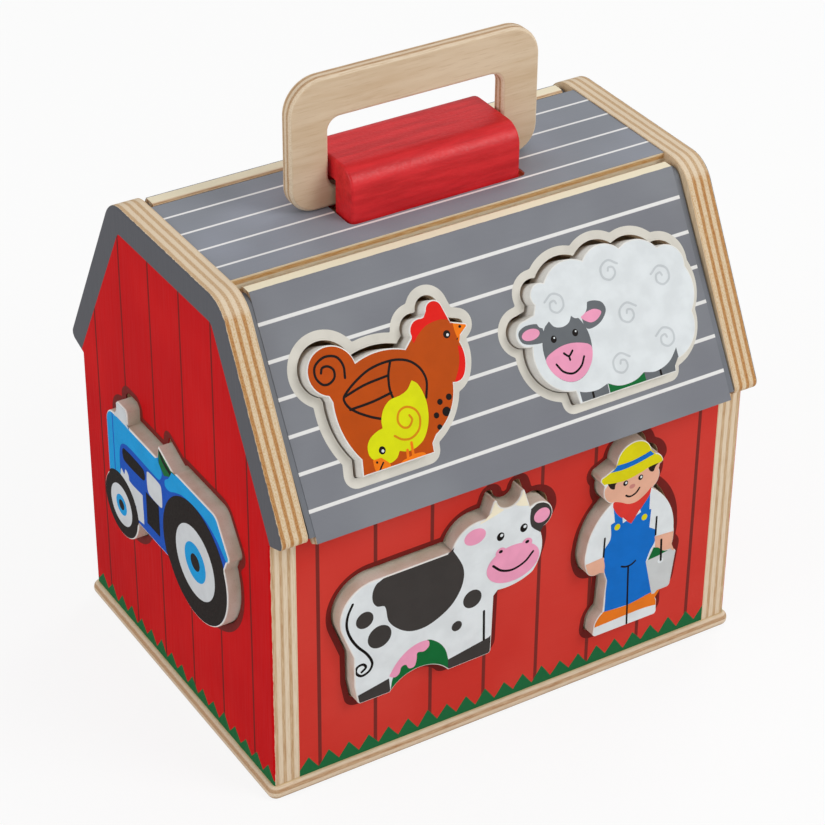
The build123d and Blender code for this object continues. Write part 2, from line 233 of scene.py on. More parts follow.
def sawnPly(tree, place, depth, layer, along, pale="#E0CDB3", dark="#A87E58", core="#CBAE8C"):
    # birch plywood's cut edge: pale long-grain plies between thinner, browner end-grain ones
    waver = grainNoise(tree, place, along, 0.22, stretch=6.0, detail=2.0)
    drift = addNode(tree, "Math", {0: waver, 1: 0.5, 2: depth}, operation="MULTIPLY_ADD")
    fold = addNode(tree, "Math", {0: drift, 1: layer}, operation="PINGPONG")
    streak = grainNoise(tree, place, along, 2.6, stretch=16.0)
    palePly = layOver(tree, streak, 0.4, 0.78, pale, core)
    darkPly = layOver(tree, streak, 0.3, 0.7, dark, core)
    return layOver(tree, fold, layer * 0.42, layer * 0.72, palePly, darkPly)


def birchFace(tree, place, along, pale="#DEC8A9", dark="#CDB08A"):
    # sanded birch veneer: long soft figure with short darker flecks
    figure = grainNoise(tree, place, along, 0.16, stretch=9.0, detail=3.0)
    fleck = grainNoise(tree, place, along, 1.6, stretch=16.0)
    toned = layOver(tree, figure, 0.3, 0.75, pale, dark)
    return layOver(tree, fleck, 0.5, 0.75, toned, "#AE8B68", 0.3)


def finishSurface(tree, shader, colour, grain, rough, relief, varnish=0.16):
    # one grain drives colour wear, gloss and the tiny relief together, as on a real board
    tree.links.new(colour, shader.inputs["Base Color"])
    shader.inputs["Specular IOR Level"].default_value = varnish
    gloss = addNode(tree, "MapRange", {0: grain, 1: 0.3, 2: 0.7, 3: rough[0], 4: rough[1]})
    tree.links.new(gloss.outputs[0], shader.inputs["Roughness"])
    bump = addNode(tree, "Bump", {"Height": grain, "Strength": relief, "Distance": 0.0002})
    tree.links.new(bump.outputs[0], shader.inputs["Normal"])


def paintTone(tree, place, along, base, worn):
    # sprayed and printed paint over open grain: slow tone drift with thin paler streaks
    drift = addNode(tree, "TexNoise", {"Vector": place, "Scale": 0.02, "Detail": 2.0})
    streak = grainNoise(tree, place, along, 1.1, stretch=24.0)
    toned = layOver(tree, drift, 0.35, 0.7, base, worn)
    return layOver(tree, streak, 0.58, 0.85, toned, worn, 0.3), streak


def drawLines(tree, value, plan, under):
    # thin painted lines that repeat from the first one
    moved = addNode(tree, "Math", {0: value, 1: plan["firstLine"]}, operation="SUBTRACT")
    away = addNode(tree, "Math", {0: moved, 1: plan["lineSpacing"] / 2}, operation="PINGPONG")
    edge, soft = plan["lineWidth"] / 2, 0.12
    return layOver(tree, away, edge + soft, edge - soft, under, plan["line"])


grassSet = {"wave": 0.09, "ragged": 2.4, "edge": (1.0, 1.3)}


def drawGrass(tree, along, height, plan, under):
    # a row of uneven blades along the foot of a board
    waver = {"W": along, "Scale": grassSet["wave"], "Detail": 0.0}
    uneven = addNode(tree, "TexNoise", waver, noise_dimensions="1D")
    shift = addNode(tree, "Math", {0: along, 1: plan["bladeTip"]}, operation="SUBTRACT")
    away = addNode(tree, "Math", {0: shift, 1: plan["bladeSpacing"] / 2}, operation="PINGPONG")
    fall = -plan["bladeHeight"] / (plan["bladeSpacing"] / 2)
    tip = plan["bladeFoot"] + plan["bladeHeight"]
    top = addNode(tree, "Math", {0: away, 1: fall, 2: tip}, operation="MULTIPLY_ADD")
    wobble = addNode(tree, "Math", {0: uneven, 1: grassSet["ragged"], 2: top}, operation="MULTIPLY_ADD")
    gap = addNode(tree, "Math", {0: wobble, 1: height}, operation="SUBTRACT")
    return layOver(tree, gap, *grassSet["edge"], under, plan["grass"])


def finishBoard(tree, shader, place, plan, depth, rim, printed, bare, grain):
    # print on the outer face, plies on the cut edges, sanded veneer on the inner face
    inner = plan["thick"] - 0.2
    bare = layOver(tree, depth, inner - 0.15, inner, bare, birchFace(tree, place, plan["along"]))
    colour = layOver(tree, rim, *plan["printEnds"], printed, bare)
    finishSurface(tree, shader, colour, grain, plan["rough"], plan["relief"], plan.get("varnish", 0.16))


# painted birch ply of the roof lids: grey print with white courses, bare birch where it was sawn
lidPaint = {
    "grey": "#797B82",
    "worn": "#82858B",
    "line": "#E6E5E3",
    "firstLine": 13.0,
    "lineSpacing": 15.0,
    "lineWidth": 1.5,
    "sawnTop": "#EFE4C8",
    "levelCut": (218.75, 218.9),
    "rubbedFoot": (103.0, 103.3),
    "chipping": 0.7,
    "scuffing": 0.9,
    "thick": 6.0,
    "plyLayer": 2.0,
    "along": "X",
    "printEnds": (0.62, 0.78),
    "rough": (0.42, 0.56),
    "relief": 0.25,
}


def makeLidMaterial():
    material, tree, shader = newMaterial("printedBirchPlyRoof")
    place = objectPlace(tree)
    parts = addNode(tree, "SeparateXYZ", {0: place})
    side = addNode(tree, "Math", {0: parts.outputs["Y"]}, operation="ABSOLUTE")
    folded = addNode(tree, "CombineXYZ", {0: 0.0, 1: side, 2: parts.outputs["Z"]})
    top = (0, barn["lidTopY"], barn["lidTopZ"])
    local = addNode(tree, "VectorMath", {0: folded, 1: top}, operation="SUBTRACT")
    down = addNode(tree, "VectorMath", {0: local, 1: (0, lidCos, -lidSin)}, operation="DOT_PRODUCT")
    down = down.outputs["Value"]
    inwards = addNode(tree, "VectorMath", {0: local, 1: (0, -lidSin, -lidCos)}, operation="DOT_PRODUCT")
    depth = inwards.outputs["Value"]
    grey, streak = paintTone(tree, place, "X", lidPaint["grey"], lidPaint["worn"])
    printed = drawLines(tree, down, lidPaint, grey)
    chip = grainNoise(tree, place, "X", 0.9, stretch=5.0)
    rim = addNode(tree, "Math", {0: chip, 1: lidPaint["chipping"], 2: depth}, operation="MULTIPLY_ADD")
    bare = sawnPly(tree, place, depth, lidPaint["plyLayer"], "X")
    # the long top edge is sawn level through the outer veneer, so it reads as one pale strip
    bare = layOver(tree, parts.outputs["Z"], *lidPaint["levelCut"], bare, lidPaint["sawnTop"])
    scuff = grainNoise(tree, place, "X", 0.8, stretch=4.0)
    rubbed = addNode(tree, "Math", {0: scuff, 1: lidPaint["scuffing"], 2: down}, operation="MULTIPLY_ADD")
    printed = layOver(tree, rubbed, *lidPaint["rubbedFoot"], printed, lidPaint["sawnTop"])
    finishBoard(tree, shader, place, lidPaint, depth, rim, printed, bare, streak)
    return material


# the flat ridge panel: the same grey print, its courses running along the ridge; its grey, worn grey and
# white lines are painted lighter than the lids', as painted light on the flat top
litRidgePaint = {
    "grey": "#878B93",
    "worn": "#9195A0",
    "line": "#ECEBEA",
    "firstLine": 7.45,
    "lineSpacing": 14.87,
    "lineWidth": 1.2,
    "top": 220.2,
    "thick": 6.5,
    "plyLayer": 2.15,
    "plies": ("#F3E4C6", "#C68B4A", "#E6C08A"),
    "along": "X",
    "printEnds": (0.12, 0.2),
    "rough": (0.38, 0.52),
    "relief": 0.25,
}


def makeRidgeMaterial():
    material, tree, shader = newMaterial("printedBirchPlyRidgeLit")
    place = objectPlace(tree)
    parts = addNode(tree, "SeparateXYZ", {0: place})
    depth = addNode(tree, "Math", {0: litRidgePaint["top"], 1: parts.outputs["Z"]}, operation="SUBTRACT")
    grey, streak = paintTone(tree, place, "X", litRidgePaint["grey"], litRidgePaint["worn"])
    printed = drawLines(tree, parts.outputs["Y"], litRidgePaint, grey)
    bare = sawnPly(tree, place, depth, litRidgePaint["plyLayer"], "X", *litRidgePaint["plies"])
    finishBoard(tree, shader, place, litRidgePaint, depth, depth, printed, bare, streak)
    return material


# red printed walls: plank lines and a row of grass along the foot; their red, worn red and lines are painted
# lighter and paler than the gables', as a painted sheen
sheenedWallPaint = {
    "red": "#CC2E23",
    "worn": "#D1382D",
    "line": "#7A2620",
    "firstLine": -93.3,
    "lineSpacing": 26.7,
    "lineWidth": 1.7,
    "grass": "#12683A",
    "bladeTip": -98.7,
    "bladeSpacing": 9.62,
    "bladeFoot": 8.6,
    "bladeHeight": 6.6,
    "thick": 6.5,
    "plyLayer": 2.15,
    "along": "X",
    "printEnds": (0.2, 0.32),
    "rough": (0.4, 0.55),
    "relief": 0.22,
}


def makeWallMaterial():
    material, tree, shader = newMaterial("printedBirchPlyWallSheened")
    place = objectPlace(tree)
    parts = addNode(tree, "SeparateXYZ", {0: place})
    side = addNode(tree, "Math", {0: parts.outputs["Y"]}, operation="ABSOLUTE")
    depth = addNode(tree, "Math", {0: barn["wallFace"], 1: side}, operation="SUBTRACT")
    red, streak = paintTone(tree, place, "X", sheenedWallPaint["red"], sheenedWallPaint["worn"])
    planked = drawLines(tree, parts.outputs["X"], sheenedWallPaint, red)
    printed = drawGrass(tree, parts.outputs["X"], parts.outputs["Z"], sheenedWallPaint, planked)
    bare = sawnPly(tree, place, depth, sheenedWallPaint["plyLayer"], "X")
    finishBoard(tree, shader, place, sheenedWallPaint, depth, depth, printed, bare, streak)
    return material


# gable ends: red barn boards inside a grey roof band, bare ply round the whole thickness
gablePaint = {
    "red": "#C20009",
    "worn": "#CC0C10",
    "line": "#6A1C18",
    "firstLine": 67.6,
    "lineSpacing": 26.75,
    "lineWidth": 1.1,
    "grass": "#12683A",
    "bladeTip": -77.5,
    "bladeSpacing": 9.6,
    "bladeFoot": 8.6,
    "bladeHeight": 6.0,
    "band": "#5D5E63",
    "bandTop": 208.3,
    "bandHalfTop": 40.2,
    "bandFall": 1.8125,
    "bandRound": 4.0,
    "bandEdge": (-0.25, 0.25),
    "slopeFoot": (130.0, 134.0),
    "slopeHead": (213.5, 216.5),
    "chipping": 0.8,
    "thick": 12.0,
    "plyLayer": 1.8,
    "levelPlies": ("#E2D0B6", "#B8926A", "#D3BA98"),
    "slopePlies": ("#DDC9AA", "#A86E3A", "#C49A66"),
    "along": "Z",
    "printEnds": (0.95, 1.12),
    "rough": (0.4, 0.55),
    "relief": 0.3,
    "varnish": 0.06,
}


def makeGableMaterial():
    material, tree, shader = newMaterial("printedBirchPlyGable")
    place = objectPlace(tree)
    parts = addNode(tree, "SeparateXYZ", {0: place})
    sideways, height = parts.outputs["Y"], parts.outputs["Z"]
    out = addNode(tree, "Math", {0: parts.outputs["X"]}, operation="ABSOLUTE")
    depth = addNode(tree, "Math", {0: barn["gableFace"], 1: out}, operation="SUBTRACT")
    side = addNode(tree, "Math", {0: sideways}, operation="ABSOLUTE")
    red, streak = paintTone(tree, place, "Z", gablePaint["red"], gablePaint["worn"])
    planked = drawLines(tree, sideways, gablePaint, red)
    grassed = drawGrass(tree, sideways, height, gablePaint, planked)
    # the band's lower edge: level under the ridge, then falling with the roof, round between the two
    top, fall = gablePaint["bandTop"], gablePaint["bandFall"]
    reach = top + fall * gablePaint["bandHalfTop"]
    sloped = addNode(tree, "Math", {0: side, 1: -fall, 2: reach}, operation="MULTIPLY_ADD")
    limits = {0: sloped, 1: top, 2: gablePaint["bandRound"]}
    roofLine = addNode(tree, "Math", limits, operation="SMOOTH_MIN")
    above = addNode(tree, "Math", {0: height, 1: roofLine}, operation="SUBTRACT")
    printed = layOver(tree, above, *gablePaint["bandEdge"], grassed, gablePaint["band"])
    chip = grainNoise(tree, place, "Z", 0.7, stretch=4.0)
    rim = addNode(tree, "Math", {0: chip, 1: gablePaint["chipping"], 2: depth}, operation="MULTIPLY_ADD")
    # the level and upright cuts show pale plies; the sloping one crosses the grain and shows them orange
    level, crossed = (
        sawnPly(tree, place, depth, gablePaint["plyLayer"], "Z", *gablePaint[plies])
        for plies in ("levelPlies", "slopePlies")
    )
    sloping = layOver(tree, height, *gablePaint["slopeFoot"], level, crossed)
    bare = layOver(tree, height, *gablePaint["slopeHead"], sloping, level)
    finishBoard(tree, shader, place, gablePaint, depth, rim, printed, bare, streak)
    return material


# bare birch ply, sanded and sealed: figure on its faces, plies round its edges
def makeBarePly(name, axis, middle, half, layer, pale="#DCC7A2", dark="#C6A97D"):
    material, tree, shader = newMaterial(name)
    place = objectPlace(tree)
    parts = addNode(tree, "SeparateXYZ", {0: place})
    moved = addNode(tree, "Math", {0: parts.outputs[axis], 1: middle}, operation="SUBTRACT")
    away = addNode(tree, "Math", {0: moved}, operation="ABSOLUTE")
    face = birchFace(tree, place, "X", pale, dark)
    edge = sawnPly(tree, place, moved, layer, "X")
    colour = layOver(tree, away, half - 0.3, half - 0.12, edge, face)
    grain = grainNoise(tree, place, "X", 1.8, stretch=12.0)
    finishSurface(tree, shader, colour, grain, (0.45, 0.62), 0.3)
    return material


# solid hardwood block under red nitro lacquer: brushed thick, so it pools glossy with a slight orange peel
blockPaint = {"red": "#DC252B", "deep": "#BE151C", "peel": 0.9, "rough": (0.34, 0.5), "varnish": 0.32}


def makeLacquerMaterial():
    material, tree, shader = newMaterial("redLacqueredBeech")
    place = objectPlace(tree)
    drift = grainNoise(tree, place, "X", 0.25, stretch=8.0, detail=3.0)
    orangePeel = {"Vector": place, "Scale": blockPaint["peel"], "Detail": 3.0, "Roughness": 0.55}
    peel = addNode(tree, "TexNoise", orangePeel)
    colour = layOver(tree, drift, 0.3, 0.75, blockPaint["red"], blockPaint["deep"])
    finishSurface(tree, shader, colour, peel, blockPaint["rough"], 0.6, blockPaint["varnish"])
    return material


# end rails: solid beech sprayed roof grey, grain just showing
def makeRailMaterial():
    material, tree, shader = newMaterial("greySprayedBeech")
    grey, streak = paintTone(tree, objectPlace(tree), "Z", "#6E7177", "#7C8087")
    finishSurface(tree, shader, grey, streak, (0.45, 0.6), 0.3)
    return material


# zinc-plated steel hinge pins: cool grey with a cloudy bloom, so they shine dully
def makeZincMaterial():
    material, tree, shader = newMaterial("zincPlatedSteel")
    bloom = addNode(tree, "TexNoise", {"Vector": objectPlace(tree), "Scale": 1.6, "Detail": 4.0})
    colour = layOver(tree, bloom, 0.35, 0.7, "#C2C4C4", "#9FA2A4")
    shader.inputs["Metallic"].default_value = 1.0
    finishSurface(tree, shader, colour, bloom, (0.28, 0.46), 0.15)
    return material


# turned beech dowels, unfinished: short flecks along the grain
def makeDowelMaterial():
    material, tree, shader = newMaterial("turnedBeech")
    grain = grainNoise(tree, objectPlace(tree), "X", 1.4, stretch=10.0)
    colour = layOver(tree, grain, 0.35, 0.7, "#DDBF93", "#B98F62")
    finishSurface(tree, shader, colour, grain, (0.6, 0.75), 0.35)
    return material


boardFinish = {
    "lid_front": makeLidMaterial(),
    "ridge_panel": makeRidgeMaterial(),
    "wall_front": makeWallMaterial(),
    "gable_left": makeGableMaterial(),
    "base_plate": makeBarePly("sealedBirchPlyBase", "Z", middle=3.25, half=3.25, layer=1.75),
    "block_retainer": makeBarePly("sawnBirchPlyRetainer", "Z", middle=210.7, half=3.0, layer=1.3),
    "rail_front_left": makeRailMaterial(),
    "hinge_pins": makeZincMaterial(),
    "gable_dowels": makeDowelMaterial(),
}
sameFinish = {
    "lid_back": "lid_front",
    "wall_back": "wall_front",
    "gable_right": "gable_left",
    "rail_front_right": "rail_front_left",
    "rail_back_left": "rail_front_left",
    "rail_back_right": "rail_front_left",
}
for node, like in sameFinish.items():
    boardFinish[node] = boardFinish[like]
for node, material in boardFinish.items():
    coats = nodes[node].data.materials
    if not coats:
        coats.append(material)
    for spot in range(len(coats)):
        coats[spot] = material
print("boards, rails and fixings finished:", len(boardFinish))


def addPiece(shape, name, materials, node):
    # a finished shape goes into the scene as a piece that rides with a CAD node's body
    mesh = meshFrom(shape, name)
    for material in materials:
        mesh.materials.append(material)
    piece = bpy.data.objects.new(name, mesh)
    bpy.context.scene.collection.objects.link(piece)
    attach(piece, bodyOf[node])
    return piece


def finishPiece(shape, node, name, materials):
    # a piece that stands in for a CAD node, shaded smooth but for its real edges
    piece = addPiece(shape, name, materials, node)
    piece.data.shade_smooth()
    piece.data.set_sharp_from_angle(angle=math.radians(32))
    piece.modifiers.new("evenShading", "WEIGHTED_NORMAL").keep_sharp = True
    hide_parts(node)


easing = {"handle": 0.45, "block": 0.35, "segments": 2, "sharpFrom": 20, "flatWithin": 0.1}  # mm and degrees


def easedCopy(node, name, material, width):
    # a merged copy of a CAD node whose sharp edges are eased as by a sanding block
    shape = shapeFrom(nodes[node].data)
    bmesh.ops.remove_doubles(shape, verts=shape.verts, dist=weld)
    flat, sharpFrom = math.radians(easing["flatWithin"]), math.radians(easing["sharpFrom"])
    bmesh.ops.dissolve_limit(shape, angle_limit=flat, verts=shape.verts, edges=shape.edges)
    sharp = [e for e in shape.edges if len(e.link_faces) == 2 and e.calc_face_angle(0) > sharpFrom]
    bmesh.ops.bevel(
        shape, geom=sharp, offset=width, offset_type="OFFSET", segments=easing["segments"], profile=0.5,
        affect="EDGES", material=-1, clamp_overlap=True,
    )
    finishPiece(shape, node, name, [material])


handleTones = {"pale": "#D8C2A6", "dark": "#CBB191"}
handlePly = makeBarePly("sealedBirchPlyHandle", "Y", middle=0.0, half=3.5, layer=1.4, **handleTones)
easedCopy("carry_handle", "carryHandleEased", handlePly, easing["handle"] * mm)
easedCopy("ridge_block", "ridgeBlockEased", makeLacquerMaterial(), easing["block"] * mm)
print("handle and block eased")


# UV-cured ink on sealed birch: even colour, a satin skin, the grain just telegraphing through
def makeInk(name, colour, roughness=0.4):
    material, tree, shader = newMaterial(name)
    place = objectPlace(tree)
    cloud = addNode(tree, "TexNoise", {"Vector": place, "Scale": 0.12, "Detail": 3.0})
    grain = grainNoise(tree, place, "X", 0.9, stretch=10.0)
    deep, light = (tuple(min(1.0, c * tone) for c in linear(colour)[:3]) + (1.0,) for tone in (0.94, 1.03))
    toned = layOver(tree, cloud, 0.3, 0.7, deep, light)
    flecked = layOver(tree, grain, 0.6, 0.85, toned, deep, 0.25)
    finishSurface(tree, shader, flecked, grain, (roughness - 0.06, roughness + 0.08), 0.12, varnish=0.08)
    return material


inkColours = {
    "black": "#17110F",
    "henBrown": "#B94A02",
    "combRed": "#E21A10",
    "yellow": "#D9DC03",
    "beakOrange": "#F27A0C",
    "chickCurl": "#D58708",
    "white": "#DDE2E4",
    "curlWhite": "#C6CBCE",
    "faceGrey": "#666A6E",
    "pink": "#EC9CBB",
    "patch": "#3F3B39",
    "sky": "#0B98D8",
    "blue": "#0A4FB8",
    "tyre": "#221B18",
    "wheelGrey": "#CDD1D4",
    "denim": "#076BC4",
    "hat": "#D9CF06",
    "skin": "#E2AC92",
    "blush": "#C8847A",
    "scarf": "#D6362E",
    "hair": "#2A1D19",
    "grass": "#0E6A33",
    "pail": "#C6C9C9",
    "shoe": "#E4761A",
    "horn": "#EFE6CC",
    "maroon": "#6A1715",
    "horseBrown": "#8A4B22",
    "catOrange": "#E08A32",
    "straw": "#E3BE3C",
}
inks = {name: makeInk("uvInk" + name[0].upper() + name[1:], colour) for name, colour in inkColours.items()}


# routed birch edge under a thin white primer: pale, a little brown where hands have rubbed it; the wall
# pieces' copy is browner all through, as painted shade from the holes their sides sit in
def makePieceEdge(name, clean, dustAndShadeTone, rubbed):
    material, tree, shader = newMaterial(name)
    place = objectPlace(tree)
    blot = addNode(tree, "TexNoise", {"Vector": place, "Scale": 0.08, "Detail": 2.0})
    fine = addNode(tree, "TexNoise", {"Vector": place, "Scale": 1.8, "Detail": 4.0})
    toned = layOver(tree, blot, 0.35, 0.7, clean, dustAndShadeTone)
    rubbedAndShaded = layOver(tree, fine, 0.5, 0.85, toned, rubbed, 0.4)
    finishSurface(tree, shader, rubbedAndShaded, fine, (0.55, 0.7), 0.25)
    return material


# the unpainted back of a play piece: sanded veneer, so the far side of a lifted piece is plain wood
def makePieceBack():
    material, tree, shader = newMaterial("sandedBirchBack")
    place = objectPlace(tree)
    grain = grainNoise(tree, place, "X", 1.8, stretch=12.0)
    finishSurface(tree, shader, birchFace(tree, place, "X"), grain, (0.5, 0.65), 0.3)
    return material


# the white ground left as a thin line round each print
whiteGround = makeInk("whiteGroundCoat", "#E6E5E0", 0.45)
pieceBack = makePieceBack()

# what goes round a hole: the border's ink and slot, and the edge of the piece in it; the wall
# pieces' edges are painted browner than the roof pieces', as painted shade from the holes they sit in
roofTrim = {
    "ink": makeInk("creamBorderInk", "#D9D5CB", 0.45),
    "slot": "printed_wood_white",
    "edge": makePieceEdge("whitePrimedBirchEdge", "#ECEAE5", "#DEDAD2", "#BFB4A2"),
}
wallTrim = {
    "ink": makeInk("maroonBorderInk", "#74201C", 0.45),
    "slot": "painted_ply_red",
    # painted shade: these browner edge tones stand for the shade inside the wall holes
    "edge": makePieceEdge("shadedPrimedBirchEdge", "#DDD6C9", "#CDC1AF", "#A68F73"),
}
trims = {board: roofTrim if board.startswith("lid") else wallTrim for board in faces}

# how the prints are drawn and laid on the pieces, in millimetres
printSet = {
    "faceAt": 5.8,  # a piece stands this far out of its board
    "inkRoom": 0.16,  # the face is lowered by this, so the ink stays inside the piece's own thickness
    "edgeRound": 0.55,
    "edgeFoot": 5.1,  # whatever is above this is the rounded edge or the face
    "inkThick": 0.02,
    "inkStep": 0.003,  # each shape lies this much above the one before
    "curveStep": 0.7,
    "edgeStep": 0.15,
    "cornerTurn": 0.2,  # radians
    "cornerFan": 6,
    "tooClose": 0.02,
    "lineEnd": (0.5, 1.05, 1.57, 2.1, 2.64),  # radians round a line's end
}


def runThrough(points, closed):
    # a smooth run through the points of a drawing; a triple ending in 1 is a corner
    count = len(points)
    run = []
    for i in range(count if closed else count - 1):
        knots = [points[j % count if closed else min(max(j, 0), count - 1)] for j in range(i - 1, i + 3)]
        before, start, end, after = (Vector(knot[:2]) for knot in knots)
        straight = end - start
        span = straight.length
        leave = (end - before) * span / (span + (start - before).length)
        arrive = (after - start) * span / (span + (after - end).length)
        leave, arrive = (straight if len(k) == 3 else way for k, way in zip(knots[1:3], (leave, arrive)))
        steps = max(2, math.ceil(span / printSet["curveStep"]))
        for step in range(steps):
            t = step / steps
            along = start * (2 * t**3 - 3 * t**2 + 1) + end * (3 * t**2 - 2 * t**3)
            run.append(along + leave * (t**3 - 2 * t**2 + t) + arrive * (t**3 - t**2))
    return run if closed else run + [Vector(points[-1][:2])]


def ribbonRing(points, width):
    # a drawn line of constant width with round ends, as one closed ring
    run = runThrough(points, False)
    half = width / 2
    ways = [(b - a).normalized() for a, b in zip(run[:1] + run[:-1], run[1:] + run[-1:])]
    ways[0] = (run[1] - run[0]).normalized()
    left = [p + Vector((-w.y, w.x)) * half for p, w in zip(run, ways)]
    right = [p + Vector((w.y, -w.x)) * half for p, w in zip(run, ways)]
    ends = []
    for middle, way in ((run[-1], ways[-1]), (run[0], -ways[0])):
        turns = [math.atan2(way.y, way.x) + math.pi / 2 - a for a in printSet["lineEnd"]]
        ends.append([middle + Vector((math.cos(turn), math.sin(turn))) * half for turn in turns])
    return left + ends[0] + right[::-1] + ends[1]


def dotRing(x, y, wide, tall=None):
    # a round dot, or an oval one where two radii are given
    turns = [step * math.pi / 24 for step in range(48)]
    return [Vector((x + wide * math.cos(a), y + (tall or wide) * math.sin(a))) for a in turns]


def drawnRings(kind, *rest):
    # the closed rings in one row of a drawing: patches, lines of one width, or dots
    if kind == "patch":
        return [runThrough(points, True) for points in rest]
    if kind == "line":
        return [ribbonRing(points, rest[0]) for points in rest[1:]]
    return [dotRing(*dot) for dot in rest]


def withNeighbours(ring):
    # each point of a closed ring, between the one before it and the one after
    return zip(ring[-1:] + ring[:-1], ring, ring[1:] + ring[:1])


def counterClockwise(ring):
    area = sum(a.cross(b) for _, a, b in withNeighbours(ring))
    return ring if area > 0 else ring[::-1]


def walkEdge(ring):
    # close spots along a ring, each with the direction that points out of it; corners get a fan of them
    fan = printSet["cornerFan"]
    spots = []
    for before, a, b in withNeighbours(ring):
        came, goes = (a - before).normalized(), (b - a).normalized()
        turn = came.angle_signed(goes, 0)
        if turn < -printSet["cornerTurn"]:
            for part in range(1, fan):
                share = came.lerp(goes, part / fan).normalized()
                spots.append((a, Vector((share.y, -share.x))))
        steps = max(1, math.ceil((b - a).length / printSet["edgeStep"]))
        spots += [(a.lerp(b, (step + 0.5) / steps), Vector((goes.y, -goes.x))) for step in range(steps)]
    tree = KDTree(len(spots))
    for place, (spot, _) in enumerate(spots):
        tree.insert((spot.x, spot.y, 0), place)
    tree.balance()
    return spots, tree


def trimTo(spots, tree, ring):
    # points outside the piece's face go to its edge, so a print may run off it as if the two were cut as one
    kept = []
    for p in ring:
        spot, way = spots[tree.find((p.x, p.y, 0))[1]]
        p = spot if (p - spot).dot(way) > 0 else p
        if not kept or (p - kept[-1]).length > printSet["tooClose"]:
            kept.append(p)
    return kept[:-1] if (kept[0] - kept[-1]).length < printSet["tooClose"] else kept


def flatShape(ring, level):
    thick = printSet["inkThick"]
    shape = bmesh.new()
    top = shape.faces.new([shape.verts.new((p.x, p.y, level + thick)) for p in counterClockwise(ring)])
    under = bmesh.ops.extrude_face_region(shape, geom=[top], use_keep_orig=True)["geom"]
    lowered = [v for v in under if isinstance(v, bmesh.types.BMVert)]
    bmesh.ops.translate(shape, vec=(0, 0, -2 * thick), verts=lowered)
    bmesh.ops.recalc_face_normals(shape, faces=shape.faces)
    return shape


def printOn(plan, edge):
    # every coloured shape of one print goes into one object that rides with its piece
    sheet = bmesh.new()
    used = []
    place = placeOn(plan["board"])
    shift = Vector(plan.get("shift", (0, 0)))
    lowest = printSet["faceAt"] - printSet["inkRoom"]
    spots, tree = walkEdge(counterClockwise(edge))
    drawn = [(ink, ring) for kind, ink, *rest in plan["shapes"] for ring in drawnRings(kind, *rest)]
    for step, (ink, ring) in enumerate(drawn):
        shape = flatShape(trimTo(spots, tree, [p + shift for p in ring]), lowest + printSet["inkStep"] * step)
        if ink not in used:
            used.append(ink)
        for f in shape.faces:
            f.material_index = used.index(ink)
        shape.transform(place)
        part = meshFrom(shape, "part")
        sheet.from_mesh(part)
        bpy.data.meshes.remove(part)
    addPiece(sheet, plan["node"] + "Print", [inks[ink] for ink in used], plan["node"])


def makePlayPiece(plan):
    # the CAD piece with its front edge rounded over, its face in the ground ink, its sides pale
    place = placeOn(plan["board"])
    shape = shapeFrom(nodes[plan["node"]].data)
    bmesh.ops.remove_doubles(shape, verts=shape.verts, dist=weld)
    shape.transform(place.inverted())
    shape.normal_update()
    for way in (1, -1):
        bmesh.ops.dissolve_faces(shape, faces=[f for f in shape.faces if f.normal.z * way > 0.99])
    fronts = [f for f in shape.faces if f.calc_center_median().z > printSet["edgeFoot"]]
    for v in {v for f in fronts for v in f.verts}:
        v.co.z -= printSet["inkRoom"]
    rims = list({e for f in fronts for e in f.edges if len(e.link_faces) == 2 and e.calc_face_angle(0) > 1})
    bmesh.ops.bevel(
        shape, geom=rims, offset=printSet["edgeRound"], offset_type="OFFSET", segments=3, profile=0.5,
        affect="EDGES", material=-1, clamp_overlap=True,
    )
    side, ground, front, back = range(4)
    for f in shape.faces:
        if f.normal.z < -0.99:
            f.material_index = back
        elif f.calc_center_median().z < printSet["edgeFoot"]:
            f.material_index = side
        else:
            f.material_index = front if f.normal.z > 0.999 else ground
    cap = max((f for f in shape.faces if f.normal.z > 0.999), key=lambda f: f.calc_area())
    edge = [v.co.xy.copy() for v in cap.verts]
    shape.transform(place)
    coats = [trims[plan["board"]]["edge"], whiteGround, inks[plan["face"]], pieceBack]
    finishPiece(shape, plan["node"], plan["node"] + "Body", coats)
    printOn(plan, edge)


# the painted borders, in millimetres
borderSet = {
    "width": 3.4,
    "thick": 0.04,
    "brushPasses": 12,
    "keepEach": 3,  # the softened outline keeps each third spot
    "slack": 0.04,
    "flush": 0.02,  # what is this close to a board's face lies in it
    "searchRoom": 3,  # a hole's edge is looked for this far round its piece
}


def holeRing(board, node):
    # the sawn hole's edge on the board's face, as a ring of points in the face's own millimetres
    room = borderSet["searchRoom"]
    place = placeOn(board).inverted()
    low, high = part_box(node)
    corners = [place @ Vector(corner) for corner in product(*zip(low, high))]
    left, right = min(c.x for c in corners) - room, max(c.x for c in corners) + room
    down, up = min(c.y for c in corners) - room, max(c.y for c in corners) + room
    shape = shapeFrom(nodes[board].data)
    shape.transform(place)
    bmesh.ops.remove_doubles(shape, verts=shape.verts, dist=weld / mm)
    rim = []
    for e in shape.edges:
        middle = (e.verts[0].co + e.verts[1].co) / 2
        inside = left < middle.x < right and down < middle.y < up
        flat = [f for f in e.link_faces if all(abs(v.co.z) < borderSet["flush"] for v in f.verts)]
        if inside and len(flat) == 1 and len(e.link_faces) > 1:
            rim.append(e)
    start = rim[0].verts[0]
    ring, here, came = [start.co.xy.copy()], rim[0].other_vert(start), rim[0]
    edges = set(rim)
    while here != start:
        ring.append(here.co.xy.copy())
        came = next(e for e in here.link_edges if e in edges and e != came)
        here = came.other_vert(here)
    shape.free()
    return counterClockwise(ring)


